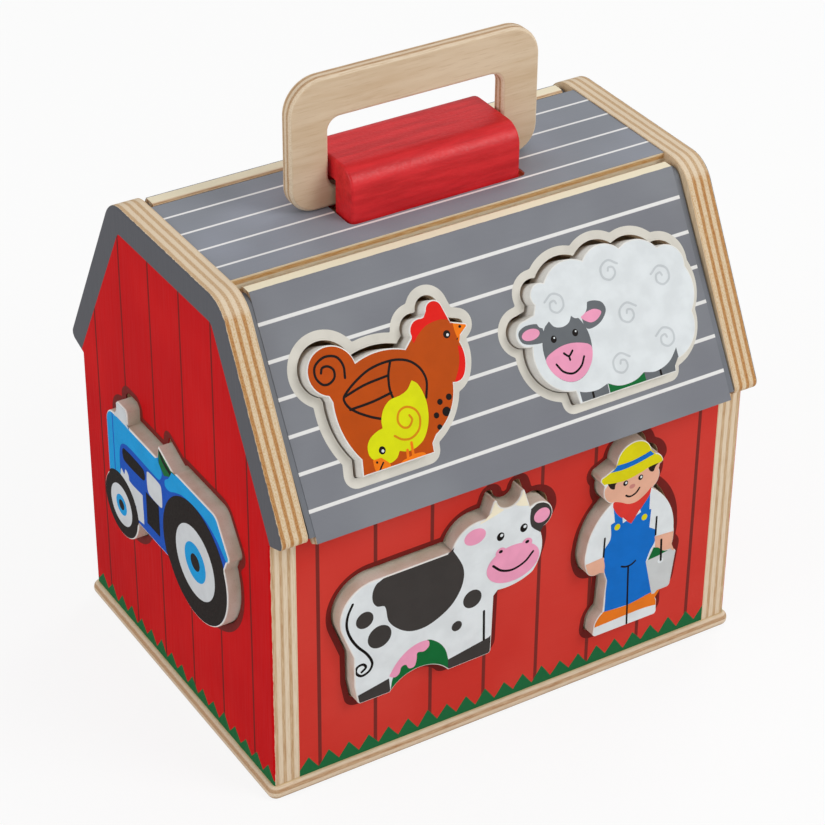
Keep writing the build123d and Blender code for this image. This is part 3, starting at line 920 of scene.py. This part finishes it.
def paintBorder(plan):
    # the painted border round a hole: an even width all round, its corners softened by the brush
    hole = holeRing(plan["board"], plan["node"])
    width, shift = plan.get("borderWidth", borderSet["width"]), Vector(plan.get("borderShift", (0, 0)))
    spots, tree = walkEdge(hole)
    outer = [spot + way * width for spot, way in spots]
    outer = [p for p in outer if tree.find((p.x, p.y, 0))[2] > width - borderSet["slack"]]
    for _ in range(borderSet["brushPasses"]):
        outer = [(a + b * 2 + c) / 4 for a, b, c in withNeighbours(outer)]
    outer = [p + shift for p in outer[::borderSet["keepEach"]]]
    curve = bpy.data.curves.new("border", "CURVE")
    curve.dimensions = "2D"
    curve.fill_mode = "BOTH"
    curve.extrude = borderSet["thick"]
    for ring in (outer, hole):
        spline = curve.splines.new("POLY")
        spline.points.add(len(ring) - 1)
        for knot, spot in zip(spline.points, ring):
            knot.co = (spot.x, spot.y, 0, 1)
        spline.use_cyclic_u = True
    holder = bpy.data.objects.new("border", curve)
    filled = bpy.data.meshes.new_from_object(holder)
    shape = shapeFrom(filled)
    bpy.data.objects.remove(holder)
    bpy.data.curves.remove(curve)
    bpy.data.meshes.remove(filled)
    bmesh.ops.remove_doubles(shape, verts=shape.verts, dist=weld / mm)
    bmesh.ops.recalc_face_normals(shape, faces=shape.faces)
    shape.transform(placeOn(plan["board"]))
    trim = trims[plan["board"]]
    addPiece(shape, plan["node"] + "Border", [trim["ink"]], plan["board"])


# The drawings, in millimetres on each board: x to the right from its middle, y up from a wall's foot or a
# lid's top; shift moves a whole drawing. A row is a kind, an ink, and patches, or a width and lines, or dots
# given as x, y and one radius or two.
henPiece = {
    "node": "hen_and_chick",
    "board": "lid_front",
    "slot": "printed_wood_brown",
    "face": "henBrown",
    "borderWidth": 4.2,
    "shift": (-1.6, 0.4),
    "shapes": [
        (
            "patch", "combRed",
            [
                (-38.5, -37.6, 1), (-39.2, -33.5), (-38, -28.6), (-33, -28.4), (-31.4, -26), (-28.3, -22.4),
                (-23.6, -22.6), (-20.6, -27), (-19.2, -33.6, 1), (-24.4, -31.8), (-30.6, -32.2),
                (-35, -34.4),
            ],
            [
                (-19.9, -43.6, 1), (-17.2, -46), (-16.2, -50), (-17, -55.6), (-21, -59), (-25.3, -57, 1),
                (-22.4, -52.8), (-20.6, -48.4),
            ],
        ),
        ("patch", "beakOrange", [
            (-19.6, -33.6, 1), (-15, -33.8), (-11, -36), (-12, -40), (-18.9, -42.6, 1), (-19.6, -38),
        ]),
        ("line", "black", 0.7, [(-19.4, -41.2), (-17.7, -40.5), (-16.2, -39), (-13, -38)]),
        ("dot", "black", (-16.9, -36.7, 0.65, 0.6), (-23.4, -38.1, 1.6)),
        ("dot", "white", (-23.1, -38.4, 0.6)),
        (
            "line", "black", 1.0,
            [
                (-71.1, -42.3), (-70.5, -37.5), (-72.5, -33.5), (-77.5, -32.2), (-82.2, -34.5),
                (-83.2, -38.5), (-81.3, -42), (-78.5, -42.7), (-75.5, -41), (-75, -38), (-77, -36),
                (-79.5, -36), (-80.5, -37.8),
            ],
            [
                (-39.3, -59.5), (-37.3, -53), (-38.5, -48), (-42, -44), (-47, -41.8), (-53, -41.2),
                (-60, -42), (-66, -44.3), (-71.5, -47.5), (-74, -50), (-73, -53.5), (-70, -56.5),
                (-65, -59.8), (-61, -61.8),
            ],
            [(-73.3, -49.3), (-64, -47.3), (-53, -46.5)],
            [(-72.5, -54.8), (-62.5, -54.5), (-53.5, -53.4)],
            [(-50.5, -41.5), (-52.8, -46.5), (-53.8, -52), (-53.4, -55.5)],
        ),
        (
            "dot", "black",
            (-29.6, -62, 1.3), (-34, -62.8, 1.2), (-32.2, -67.3, 1.9), (-37, -67.5, 1.2),
            (-36.9, -72.3, 1.1),
        ),
        ("patch", "yellow", [
            (-43.6, -51.2, 1), (-41.5, -53.2), (-40, -58), (-39.8, -63), (-41.2, -69), (-44.6, -74.4),
            (-48.6, -76.8), (-53, -77.4), (-56.6, -76.2, 1), (-58.6, -78.6), (-62.6, -79.6), (-66.6, -77.8),
            (-69.5, -74.8), (-69.6, -71), (-67.6, -68), (-64, -66.2), (-61.2, -65.6, 1), (-60.8, -62.5),
            (-58.6, -58.5), (-55, -56), (-50, -55.4), (-46.6, -54.2),
        ]),
        ("line", "beakOrange", 1.2, [(-50.7, -74.6), (-51.4, -80.4)], [(-53.2, -76.9), (-54.2, -81.6)]),
        (
            "patch", "beakOrange",
            [(-59, -82.6, 1), (-56.6, -80.4), (-53.4, -79.8), (-50, -79.2), (-46.2, -80), (-45.6, -82.6, 1)],
            [(-68.8, -76.4, 1), (-65, -76.4, 1), (-61.8, -80.2), (-63, -83, 1), (-68.4, -83, 1), (-69, -79)],
        ),
        ("line", "black", 0.7, [(-67.6, -82), (-66.2, -80.1), (-64.7, -78.5)]),
        ("dot", "black", (-67.3, -77.7, 0.5), (-63.8, -73.8, 1.5, 1.6)),
        ("dot", "white", (-63.6, -74.1, 0.6)),
        ("line", "chickCurl", 0.9, [
            (-57, -70), (-54, -72.3), (-50, -72.8), (-46, -70.5), (-44.3, -66), (-45.5, -62.5), (-49, -60.5),
            (-52.5, -61.5), (-54, -65), (-52.5, -67.8), (-50, -68.3), (-47.8, -66), (-48.5, -64),
        ]),
    ],
}

sheepPiece = {
    "node": "sheep",
    "board": "lid_front",
    "slot": "printed_wood_white",
    "face": "white",
    "borderWidth": 3.7,
    "shift": (-1.6, 0.4),
    "shapes": [
        ("patch", "grass", [(42.2, -83, 1), (42.4, -72, 1), (60.2, -72, 1), (60.2, -83, 1)]),
        (
            "patch", "faceGrey",
            [(28.4, -70, 1), (42.3, -70, 1), (41.8, -83, 1), (28.6, -83, 1)],
            [(60.2, -72, 1), (78, -72, 1), (78, -83, 1), (60.2, -83, 1)],
        ),
        ("line", "black", 1.0, [(34.4, -77.4), (34.2, -83)], [(67.9, -77), (67.9, -83)]),
        ("patch", "white", [
            (24, -74, 1), (30, -77.4), (36.6, -78.4), (42.2, -77.2, 1), (46.5, -79.4), (51, -80),
            (56, -79.4), (60, -77.6, 1), (66, -78.8), (73, -76.8), (79, -71, 1), (50, -64, 1),
        ]),
        ("dot", "faceGrey", (28.2, -57.9, 11.4, 14.4)),
        ("patch", "faceGrey", [
            (18.6, -46.2), (12, -44.6), (7.9, -46.6), (8.6, -50.8), (14, -52.8), (18.6, -52.6),
        ]),
        ("dot", "pink", (13.2, -48.6, 4.2, 2.3)),
        ("patch", "faceGrey", [
            (38.4, -46.4), (42.4, -42.9), (48.6, -44.4), (49.9, -48.3), (45.6, -52.6), (39.2, -53.2),
        ]),
        (
            "patch", "pink",
            [(37.8, -48), (44, -46.3), (47.6, -48.3), (45, -50.8), (41.3, -51.2)],
            [
                (17.1, -60.2), (22, -57.6), (28.2, -56.7), (34.4, -57.8), (39, -60.4), (37.8, -66),
                (33.4, -70.6), (28.2, -72.2), (23, -70.6), (18.6, -66),
            ],
        ),
        ("patch", "white", [
            (17.4, -43.2), (17.6, -46.4), (19.6, -47.5), (22.8, -45.7, 1), (24.6, -48.4), (28.2, -49.5),
            (31.6, -48.6), (33.4, -46.2, 1), (35, -47.7), (37.8, -47.8), (40.8, -46.2), (42.4, -42.5, 1),
            (30, -38, 1),
        ]),
        ("dot", "black", (22.9, -53.2, 1.35, 1.5), (33.3, -53.3, 1.35, 1.5)),
        ("dot", "white", (23.3, -52.7, 0.4), (33.7, -52.8, 0.4)),
        (
            "line", "black", 0.9,
            [(25.8, -59.9), (27.8, -61.6), (30, -59.9)],
            [(27.8, -61.6), (27.9, -63.2)],
            [(21.2, -63.3), (23.6, -67), (27.9, -68.8), (32.2, -67), (34.6, -63.6)],
        ),
    ],
}
# the fleece's curls: the middle of each, and -1 where it turns the other way
fleeceCurls = {
    "places": (
        (27.6, -39.9, 1), (56, -33.6, -1), (79.5, -42, 1),
        (59.7, -52.5, -1), (74.5, -67, 1), (50.8, -71.5, -1),
    ),
    "reach": (0.6, 1.6, 2.4, 3.0, 3.5, 3.9, 4.2, 4.5, 5.0),
    "start": 0.6,
    "turn": 1.05,
}
for x, y, side in fleeceCurls["places"]:
    curl = []
    for step, reach in enumerate(fleeceCurls["reach"]):
        angle = step * fleeceCurls["turn"] + fleeceCurls["start"]
        curl.append((x + side * reach * math.cos(angle), y + reach * math.sin(angle)))
    sheepPiece["shapes"].append(("line", "curlWhite", 0.9, curl))

cowPiece = {
    "node": "cow",
    "board": "wall_front",
    "slot": "printed_wood_white",
    "face": "white",
    "borderShift": (1.0, -1.0),
    "shift": (-0.5, 0.6),
    "shapes": [
        ("patch", "patch", [
            (-66.7, 97.2), (-60, 101, 1), (-34, 101, 1), (-30, 94), (-27.7, 88.7), (-27.3, 83.3),
            (-29, 77.3), (-33.3, 71.3), (-40, 67), (-46.7, 65.1), (-53.3, 66), (-59.3, 70), (-63.3, 75.3),
            (-65.1, 83.3), (-68.7, 84.7), (-70.7, 88), (-70.7, 92.7), (-69, 96),
        ]),
        ("dot", "patch", (-74.5, 80, 4.1), (-67.5, 68.9, 5.6), (-22.9, 70.7, 4.5), (-30.3, 59.5, 2.5)),
        ("line", "black", 1.2, [
            (-80.1, 90.1), (-82.3, 85.3), (-82.9, 80), (-81.3, 74), (-78, 68), (-73.3, 62), (-71, 56.7),
            (-72.3, 53.3), (-76, 52), (-78.7, 54.7), (-78, 57.3), (-75.3, 57.7), (-74, 55.7), (-76, 54),
        ]),
        ("patch", "grass", [
            (-57, 49, 1), (-45.3, 57.9), (-40, 55.3), (-36, 50), (-34.2, 43.4), (-33.6, 37, 1),
            (-62.4, 36, 1), (-61, 45),
        ]),
        ("patch", "pink", [
            (-62.7, 46.3), (-60, 44.8), (-58, 46), (-57, 49), (-55, 49.3), (-53.3, 46.7), (-50.7, 46.8),
            (-49.7, 50), (-49.3, 53.3), (-46, 52.8), (-43.7, 54.7), (-44.3, 57.7), (-49.3, 58.1),
            (-54.7, 56), (-59.3, 52), (-62, 48),
        ]),
        (
            "patch", "patch",
            [(-80, 42, 1), (-63, 45.4, 1), (-62, 36, 1), (-80, 36, 1)],
            [(-34.3, 43.5, 1), (-11, 47.8, 1), (-11, 36, 1), (-34.3, 36, 1)],
        ),
        ("line", "black", 1.1, [(-17, 62), (-16.7, 47)]),
        ("dot", "pink", (-22.3, 102, 5.2, 3.9)),
        ("patch", "patch", [
            (4.9, 106, 1), (10, 108.6), (17, 106), (17.6, 100), (14.6, 94.6), (9.9, 92.6, 1), (5.6, 96.8),
            (4.6, 101),
        ]),
        ("dot", "pink", (10.4, 101, 3.9, 3.6)),
        (
            "patch", "horn",
            [(-20, 107.4, 1), (-14.6, 108.6), (-8.6, 110.4, 1), (-9, 114), (-13, 120), (-17, 114)],
            [(-4.4, 111.6, 1), (0, 109.4), (4.6, 108, 1), (4, 114), (1, 120), (-3, 116)],
        ),
        ("dot", "black", (-9.8, 97.5, 1.8, 2.1), (1.6, 97.8, 1.8, 2.1)),
        ("dot", "white", (-9.3, 98, 0.75), (2.1, 98.3, 0.75)),
        ("dot", "pink", (-9.4, 89.2, 2.6, 2.5), (3.4, 89.4, 2.6, 2.5), (-3.2, 81.7, 13, 9.2)),
        ("dot", "black", (-9.5, 89.8, 1.0, 0.8), (3.5, 90.1, 1.0, 0.8)),
        ("line", "black", 1.1, [(-13.1, 83.8), (-9, 80), (-3.5, 78.4), (2.6, 80.2), (6.6, 84)]),
    ],
}

farmerPiece = {
    "node": "farmer",
    "board": "wall_front",
    "slot": "printed_wood_blue",
    "face": "white",
    "borderShift": (1.2, -1.2),
    "shapes": [
        ("patch", "skin", [
            (44, 106, 1), (40, 100), (43, 94.6), (46.6, 94.8), (53, 91), (57.6, 90.4), (62, 92.2),
            (66, 95.4), (70.4, 97), (71, 104), (69, 108, 1), (57, 108, 1),
        ]),
        (
            "patch", "hair",
            [(42, 107, 1), (44.2, 102.6), (46.4, 101.4), (46.8, 103.6), (48.6, 105, 1)],
            [(62.8, 108.6, 1), (64.2, 104.6), (66.2, 103.6), (67.4, 106), (70, 107.6, 1)],
        ),
        ("patch", "hat", [
            (37, 105.4, 1), (42, 105.4), (47, 104.4), (52.5, 104), (59.5, 105.2), (65, 106.8), (72, 107, 1),
            (74, 110, 1), (68, 116, 1), (66, 126, 1), (46, 126, 1), (44, 113, 1), (37, 111, 1),
        ]),
        ("patch", "denim", [
            (44, 110.6, 1), (50, 110), (56, 110.4), (61, 111.3), (66.6, 112.6, 1), (66.6, 115.4, 1),
            (60, 113.8), (55, 113), (50, 112.9), (44, 113.6, 1),
        ]),
        ("dot", "black", (52, 102.5, 1.25, 1.35), (59.7, 102.8, 1.25, 1.35)),
        ("dot", "white", (52.3, 102.6, 0.55, 0.6), (60, 102.9, 0.55, 0.6)),
        ("dot", "blush", (55.6, 99.7, 1.5, 1.1)),
        ("line", "black", 0.9, [(52.6, 96), (54.2, 94.9), (56.2, 94.9), (58.2, 96), (59.4, 97.6)]),
        ("patch", "denim", [
            (46.4, 92.6, 1), (47.6, 84, 1), (45.6, 83.4, 1), (45.8, 76), (43, 71.6, 1), (43, 66, 1),
            (43.4, 60.6), (44.4, 55), (44.8, 46), (44.6, 37.6, 1), (57.6, 36.8, 1), (71.4, 38.8, 1),
            (69.2, 41.6, 1), (68.2, 50), (65.4, 57, 1), (67.2, 62), (69.4, 66), (69.2, 72.4, 1),
            (66, 74.6, 1), (66.4, 84, 1), (65.4, 84.2, 1), (65.2, 95.4, 1), (57, 82, 1),
        ]),
        ("patch", "scarf", [
            (46.4, 94.6), (50, 93.4), (54, 91.2), (58, 90.8), (62, 92.6), (65.8, 95.8, 1), (65, 92),
            (60.6, 86), (56.2, 80.2, 1), (52.4, 83.6), (48.4, 88), (46.2, 92.2, 1),
        ]),
        (
            "patch", "white",
            [(51.4, 85.2, 1), (53.7, 82.7, 1), (51.8, 82, 1)],
            [(58.4, 83.4, 1), (60.4, 86.2, 1), (61, 84.4, 1)],
        ),
        ("dot", "hat", (49, 81, 1.5, 1.6), (63, 81.1, 1.5, 1.6)),
        (
            "line", "black", 0.9,
            [(52.4, 59), (54.2, 58.2), (56, 57.9), (58, 58.3), (59.6, 59.4)],
            [(56, 58, 1), (57, 26, 1)],
        ),
        ("patch", "shoe", [
            (38.6, 31, 1), (46, 31.2), (57, 31.6, 1), (66, 31.6), (74, 30.6, 1), (74, 38.4, 1), (69, 38.6),
            (57, 36.8), (44, 37.8, 1), (40, 36, 1),
        ]),
        (
            "line", "black", 0.9,
            [(56.6, 40, 1), (57, 26, 1)],
            [(42.8, 77.4), (42.6, 67.4)],
            [(69.6, 78.8), (69.6, 69.4)],
        ),
        (
            "patch", "skin",
            [(31, 66.8, 1), (42.6, 67.6, 1), (43.4, 61), (40, 57), (31, 57, 1)],
            [(69.2, 68.6, 1), (82, 67.6, 1), (82, 60), (76, 59), (70.4, 61.6), (69.6, 66)],
        ),
        ("patch", "grass", [
            (69, 62.8, 1), (71.4, 62), (74.4, 59.2), (77.4, 58), (77, 55.4, 1), (66.4, 57, 1),
        ]),
        ("patch", "pail", [
            (65.2, 57, 1), (72, 57.6), (79, 58.8, 1), (84, 58, 1), (81.4, 37.6, 1), (69.6, 37.6, 1),
            (68.9, 40.5, 1),
        ]),
        ("dot", "white", (73.2, 54.4, 1.5, 1.4)),
        ("line", "black", 1.1, [(72.9, 65.6), (73.1, 60), (73.3, 54.6)]),
    ],
}

tractorWheels = ((29.3, 89.5, (28.6, 17, 9.2, 4)), (-39.3, 76.7, (16.4, 10, 5, 2.5)))
wheelInks = ("tyre", "wheelGrey", "sky", "tyre")
tractorPiece = {
    "node": "tractor",
    "board": "gable_left",
    "slot": "printed_wood_blue",
    "face": "blue",
    "borderShift": (-0.8, -0.6),
    "shapes": [
        ("patch", "sky", [
            (-52, 86, 1), (-52, 124, 1), (-3, 124, 1), (-1.6, 122.4), (1.8, 117.6), (-0.6, 112.8),
            (-6, 112.2), (-30, 112.4), (-36, 110), (-38.4, 104), (-38.4, 86, 1),
        ]),
        ("line", "blue", 0.8, [(-43.6, 122), (-43.6, 90)]),
        ("patch", "grass", [
            (-0.6, 130, 1), (15, 127, 1), (12.6, 121.6, 1), (3.8, 117.4, 1), (-0.6, 121, 1),
        ]),
        ("line", "black", 2.2, [(-0.2, 129), (3.6, 124.4), (11.6, 121.4)]),
        ("patch", "sky", [
            (12.6, 126, 1), (50, 126, 1), (62, 110, 1), (58, 106.6, 1), (55.4, 108.6), (49, 113.6),
            (40, 117.2), (30, 118.2), (20, 117.2), (13.4, 114.8), (8.4, 112.4), (4.6, 112.6), (4.4, 115.4),
            (8, 118.6),
        ]),
        ("patch", "black", [
            (-35.4, 105), (-34, 102.8), (-17.4, 102.9), (-15, 104), (-14.6, 107), (-16.2, 109),
            (-33.6, 109.2), (-35.4, 107.6),
        ]),
        (
            "patch", "wheelGrey",
            [
                (-37.6, 96.8), (-34.8, 95.4), (-33.4, 98.6), (-30.8, 97.2), (-29.8, 94.6), (-17.8, 94.6, 1),
                (-17.8, 86.2, 1), (-30, 84, 1), (-38, 90),
            ],
            [
                (-12.4, 109.6), (-10.6, 110.6), (-0.6, 110.4), (0.6, 109), (0.8, 100), (-0.6, 98.8),
                (-10.4, 99), (-12.4, 101),
            ],
        ),
        ("patch", "black", [(-14.4, 98.4, 1), (-2.6, 98.4, 1), (-2.6, 82.4, 1), (-14.4, 82.4, 1)]),
        ("patch", "wheelGrey", [(-24.6, 85.4, 1), (-17.6, 87, 1), (-17.6, 79.6, 1), (-24.8, 78.4, 1)]),
        *(
            ("dot", ink, (x, y, radius))
            for x, y, radii in tractorWheels for ink, radius in zip(wheelInks, radii)
        ),
        ("patch", "wheelGrey", [(-42, 122.2, 1), (-42, 132, 1), (-28, 132, 1), (-28, 122.2, 1)]),
    ],
}

# plain toy pictures on the far sides
duckPiece = {
    "node": "duck",
    "board": "lid_back",
    "slot": "printed_wood_yellow",
    "face": "yellow",
    "shift": (-48, -52),
    "shapes": [
        ("patch", "beakOrange", [
            (24.2, 10.4, 1), (31.6, 12.6), (32.2, 14), (31.2, 15.6), (24.6, 18, 1), (23.4, 14),
        ]),
        ("line", "black", 0.7, [(24.4, 14), (30.4, 14)]),
        ("dot", "black", (17.6, 17.4, 1.6, 1.8)),
        ("dot", "white", (18.1, 18, 0.5)),
        ("line", "chickCurl", 1.2, [
            (-18, -2), (-12, -12), (0, -15), (10, -10), (12, -3), (4, -1), (-6, -2),
        ]),
        ("line", "chickCurl", 1.0, [(-8, -5), (0, -8.6), (7, -6)], [(-27, 4), (-22, 0.6), (-17, 1.4)]),
    ],
}

pigPiece = {
    "node": "pig",
    "board": "lid_back",
    "slot": "printed_wood_pink",
    "face": "pink",
    "shift": (48, -52),
    "shapes": [
        ("dot", "blush", (-27.4, -2.4, 4.6, 4.2)),
        ("dot", "black", (-29, -2.2, 0.8, 1.1), (-25.8, -2.2, 0.8, 1.1), (-18.6, 5.4, 1.5, 1.7)),
        ("dot", "white", (-18.2, 6, 0.45)),
        ("patch", "blush", [(-23.4, 14.4), (-20, 20.6), (-14.4, 16.6), (-12, 9), (-16, 10)]),
        ("line", "blush", 1.0, [(-27, -8), (-24, -9.4), (-20.6, -8)]),
        ("line", "blush", 1.1, [(22, 3), (25.6, 5.6), (27.6, 2.4), (24.6, 0.2), (22.4, 3.4)]),
        (
            "patch", "blush",
            [(-20.6, -19.6, 1), (-20.6, -22.8, 1), (-10.2, -22.8, 1), (-10.2, -19.6, 1)],
            [(14.4, -19.6, 1), (14.4, -22.8, 1), (24.8, -22.8, 1), (25, -19.6, 1)],
        ),
    ],
}

horsePiece = {
    "node": "horse",
    "board": "wall_back",
    "slot": "printed_wood_brown",
    "face": "horseBrown",
    "shift": (-46, 66),
    "shapes": [
        (
            "patch", "hair",
            [(22.4, 31.6, 1), (18, 28), (10, 22), (4, 15.6), (-1, 13.2), (6, 20.6), (13.6, 26.8)],
            [(-29.6, 8), (-33, 2), (-32.4, -6), (-29.8, -18), (-27, -8), (-25, 2), (-25, 10)],
        ),
        ("dot", "black", (27.4, 22.4, 1.5, 1.8)),
        ("dot", "white", (27.9, 23, 0.45)),
        ("dot", "black", (36, 13.6, 0.8)),
        ("line", "black", 0.8, [(37.6, 11.8), (34, 10.6), (31, 11.6)]),
        (
            "patch", "tyre",
            [(-26.6, -26.4, 1), (-26, -31.8, 1), (-16.2, -31.8, 1), (-15.6, -26.4, 1)],
            [(13.6, -26.4, 1), (14.2, -31.8, 1), (23.8, -31.8, 1), (23.8, -26.4, 1)],
        ),
        ("patch", "combRed", [(-12, 12, 1), (0, 12.6, 1), (3, 2), (-6, -3), (-14, 2)]),
        ("line", "yellow", 1.0, [(-12.6, 4), (-6, -0.4), (1.4, 4)]),
    ],
}

catPiece = {
    "node": "cat",
    "board": "wall_back",
    "slot": "printed_wood_orange",
    "face": "catOrange",
    "shift": (50, 68),
    "shapes": [
        ("dot", "black", (-5.4, 18.6, 1.4, 2.1), (5.4, 18.6, 1.4, 2.1)),
        ("dot", "white", (-5, 19.4, 0.45), (5.8, 19.4, 0.45)),
        ("patch", "pink", [(-1.6, 14.6, 1), (1.6, 14.6, 1), (0, 12.8, 1)]),
        ("line", "black", 0.8, [(-3.6, 10.8), (-1.6, 10.4), (0, 12.6), (1.6, 10.4), (3.6, 10.8)]),
        (
            "patch", "pink",
            [(-12.6, 31, 1), (-8.6, 28.4, 1), (-12.4, 24.6, 1)],
            [(12.6, 31, 1), (8.6, 28.4, 1), (12.4, 24.6, 1)],
        ),
        ("line", "horseBrown", 1.3, [(-4, 27), (-3.4, 23.4)], [(0, 27.4), (0, 23)], [(4, 27), (3.4, 23.4)]),
        ("patch", "white", [(-5, 1), (0, 3.4), (5, 1), (6, -9), (0, -15), (-6, -9)]),
        (
            "line", "horseBrown", 1.3,
            [(-15.6, -8), (-11, -9.6)],
            [(-16.4, -14), (-11.4, -15)],
            [(15.6, -8), (11, -9.6)],
            [(16.4, -14), (11.4, -15)],
        ),
        ("line", "black", 0.8, [(-4.6, -28.4), (-4.2, -20)], [(4.6, -28.4), (4.2, -20)]),
    ],
}

wagonPiece = {
    "node": "hay_wagon",
    "board": "gable_right",
    "slot": "printed_wood_yellow",
    "face": "white",
    "shift": (0, 92),
    "shapes": [
        ("patch", "straw", [
            (-34, 11, 1), (-31.4, 26.4), (-16, 30.4), (0, 32.4), (16, 30.4), (31.4, 26.4), (34, 11, 1),
        ]),
        (
            "line", "horseBrown", 0.8,
            [(-24, 24), (-20, 17), (-22, 12)],
            [(-12, 29), (-8, 22), (-12, 16)],
            [(0, 30), (3, 23), (-1, 15)],
            [(12, 28), (14, 21), (10, 14)],
            [(24, 25), (22, 18), (25, 12)],
        ),
        ("patch", "combRed", [(-42.8, -6.8, 1), (-42.8, 8.8, 1), (42.8, 8.8, 1), (42.8, -6.8, 1)]),
        ("line", "maroon", 0.9, [(-42, 3.4), (42, 3.4)], [(-42, -1.8), (42, -1.8)]),
        ("patch", "horseBrown", [(-2, -6.8, 1), (-2, 8.8, 1), (2, 8.8, 1), (2, -6.8, 1)]),
    ],
}

wagonWheels = {
    "hubs": (-24, 24),
    "height": -14,
    "rings": (("tyre", 14), ("horn", 10), ("combRed", 3.6)),
    "spokes": 4,
    "spokeReach": 9.6,
    "firstSpoke": 0.4,
}
hubs = [(x, wagonWheels["height"]) for x in wagonWheels["hubs"]]
for x, y in hubs:
    wagonPiece["shapes"] += [("dot", ink, (x, y, radius)) for ink, radius in wagonWheels["rings"]]
for x, y in hubs:
    for spoke in range(wagonWheels["spokes"]):
        angle = spoke * math.pi / wagonWheels["spokes"] + wagonWheels["firstSpoke"]
        reachX, reachY = (wagonWheels["spokeReach"] * part for part in (math.cos(angle), math.sin(angle)))
        ends = [(x - reachX, y - reachY), (x + reachX, y + reachY)]
        wagonPiece["shapes"].append(("line", "horseBrown", 1.2, ends))

playPieces = [
    henPiece, sheepPiece, cowPiece, farmerPiece, tractorPiece,
    duckPiece, pigPiece, horsePiece, catPiece, wagonPiece,
]
for plan in playPieces:
    makePlayPiece(plan)
    paintBorder(plan)
    print("piece drawn:", plan["node"])
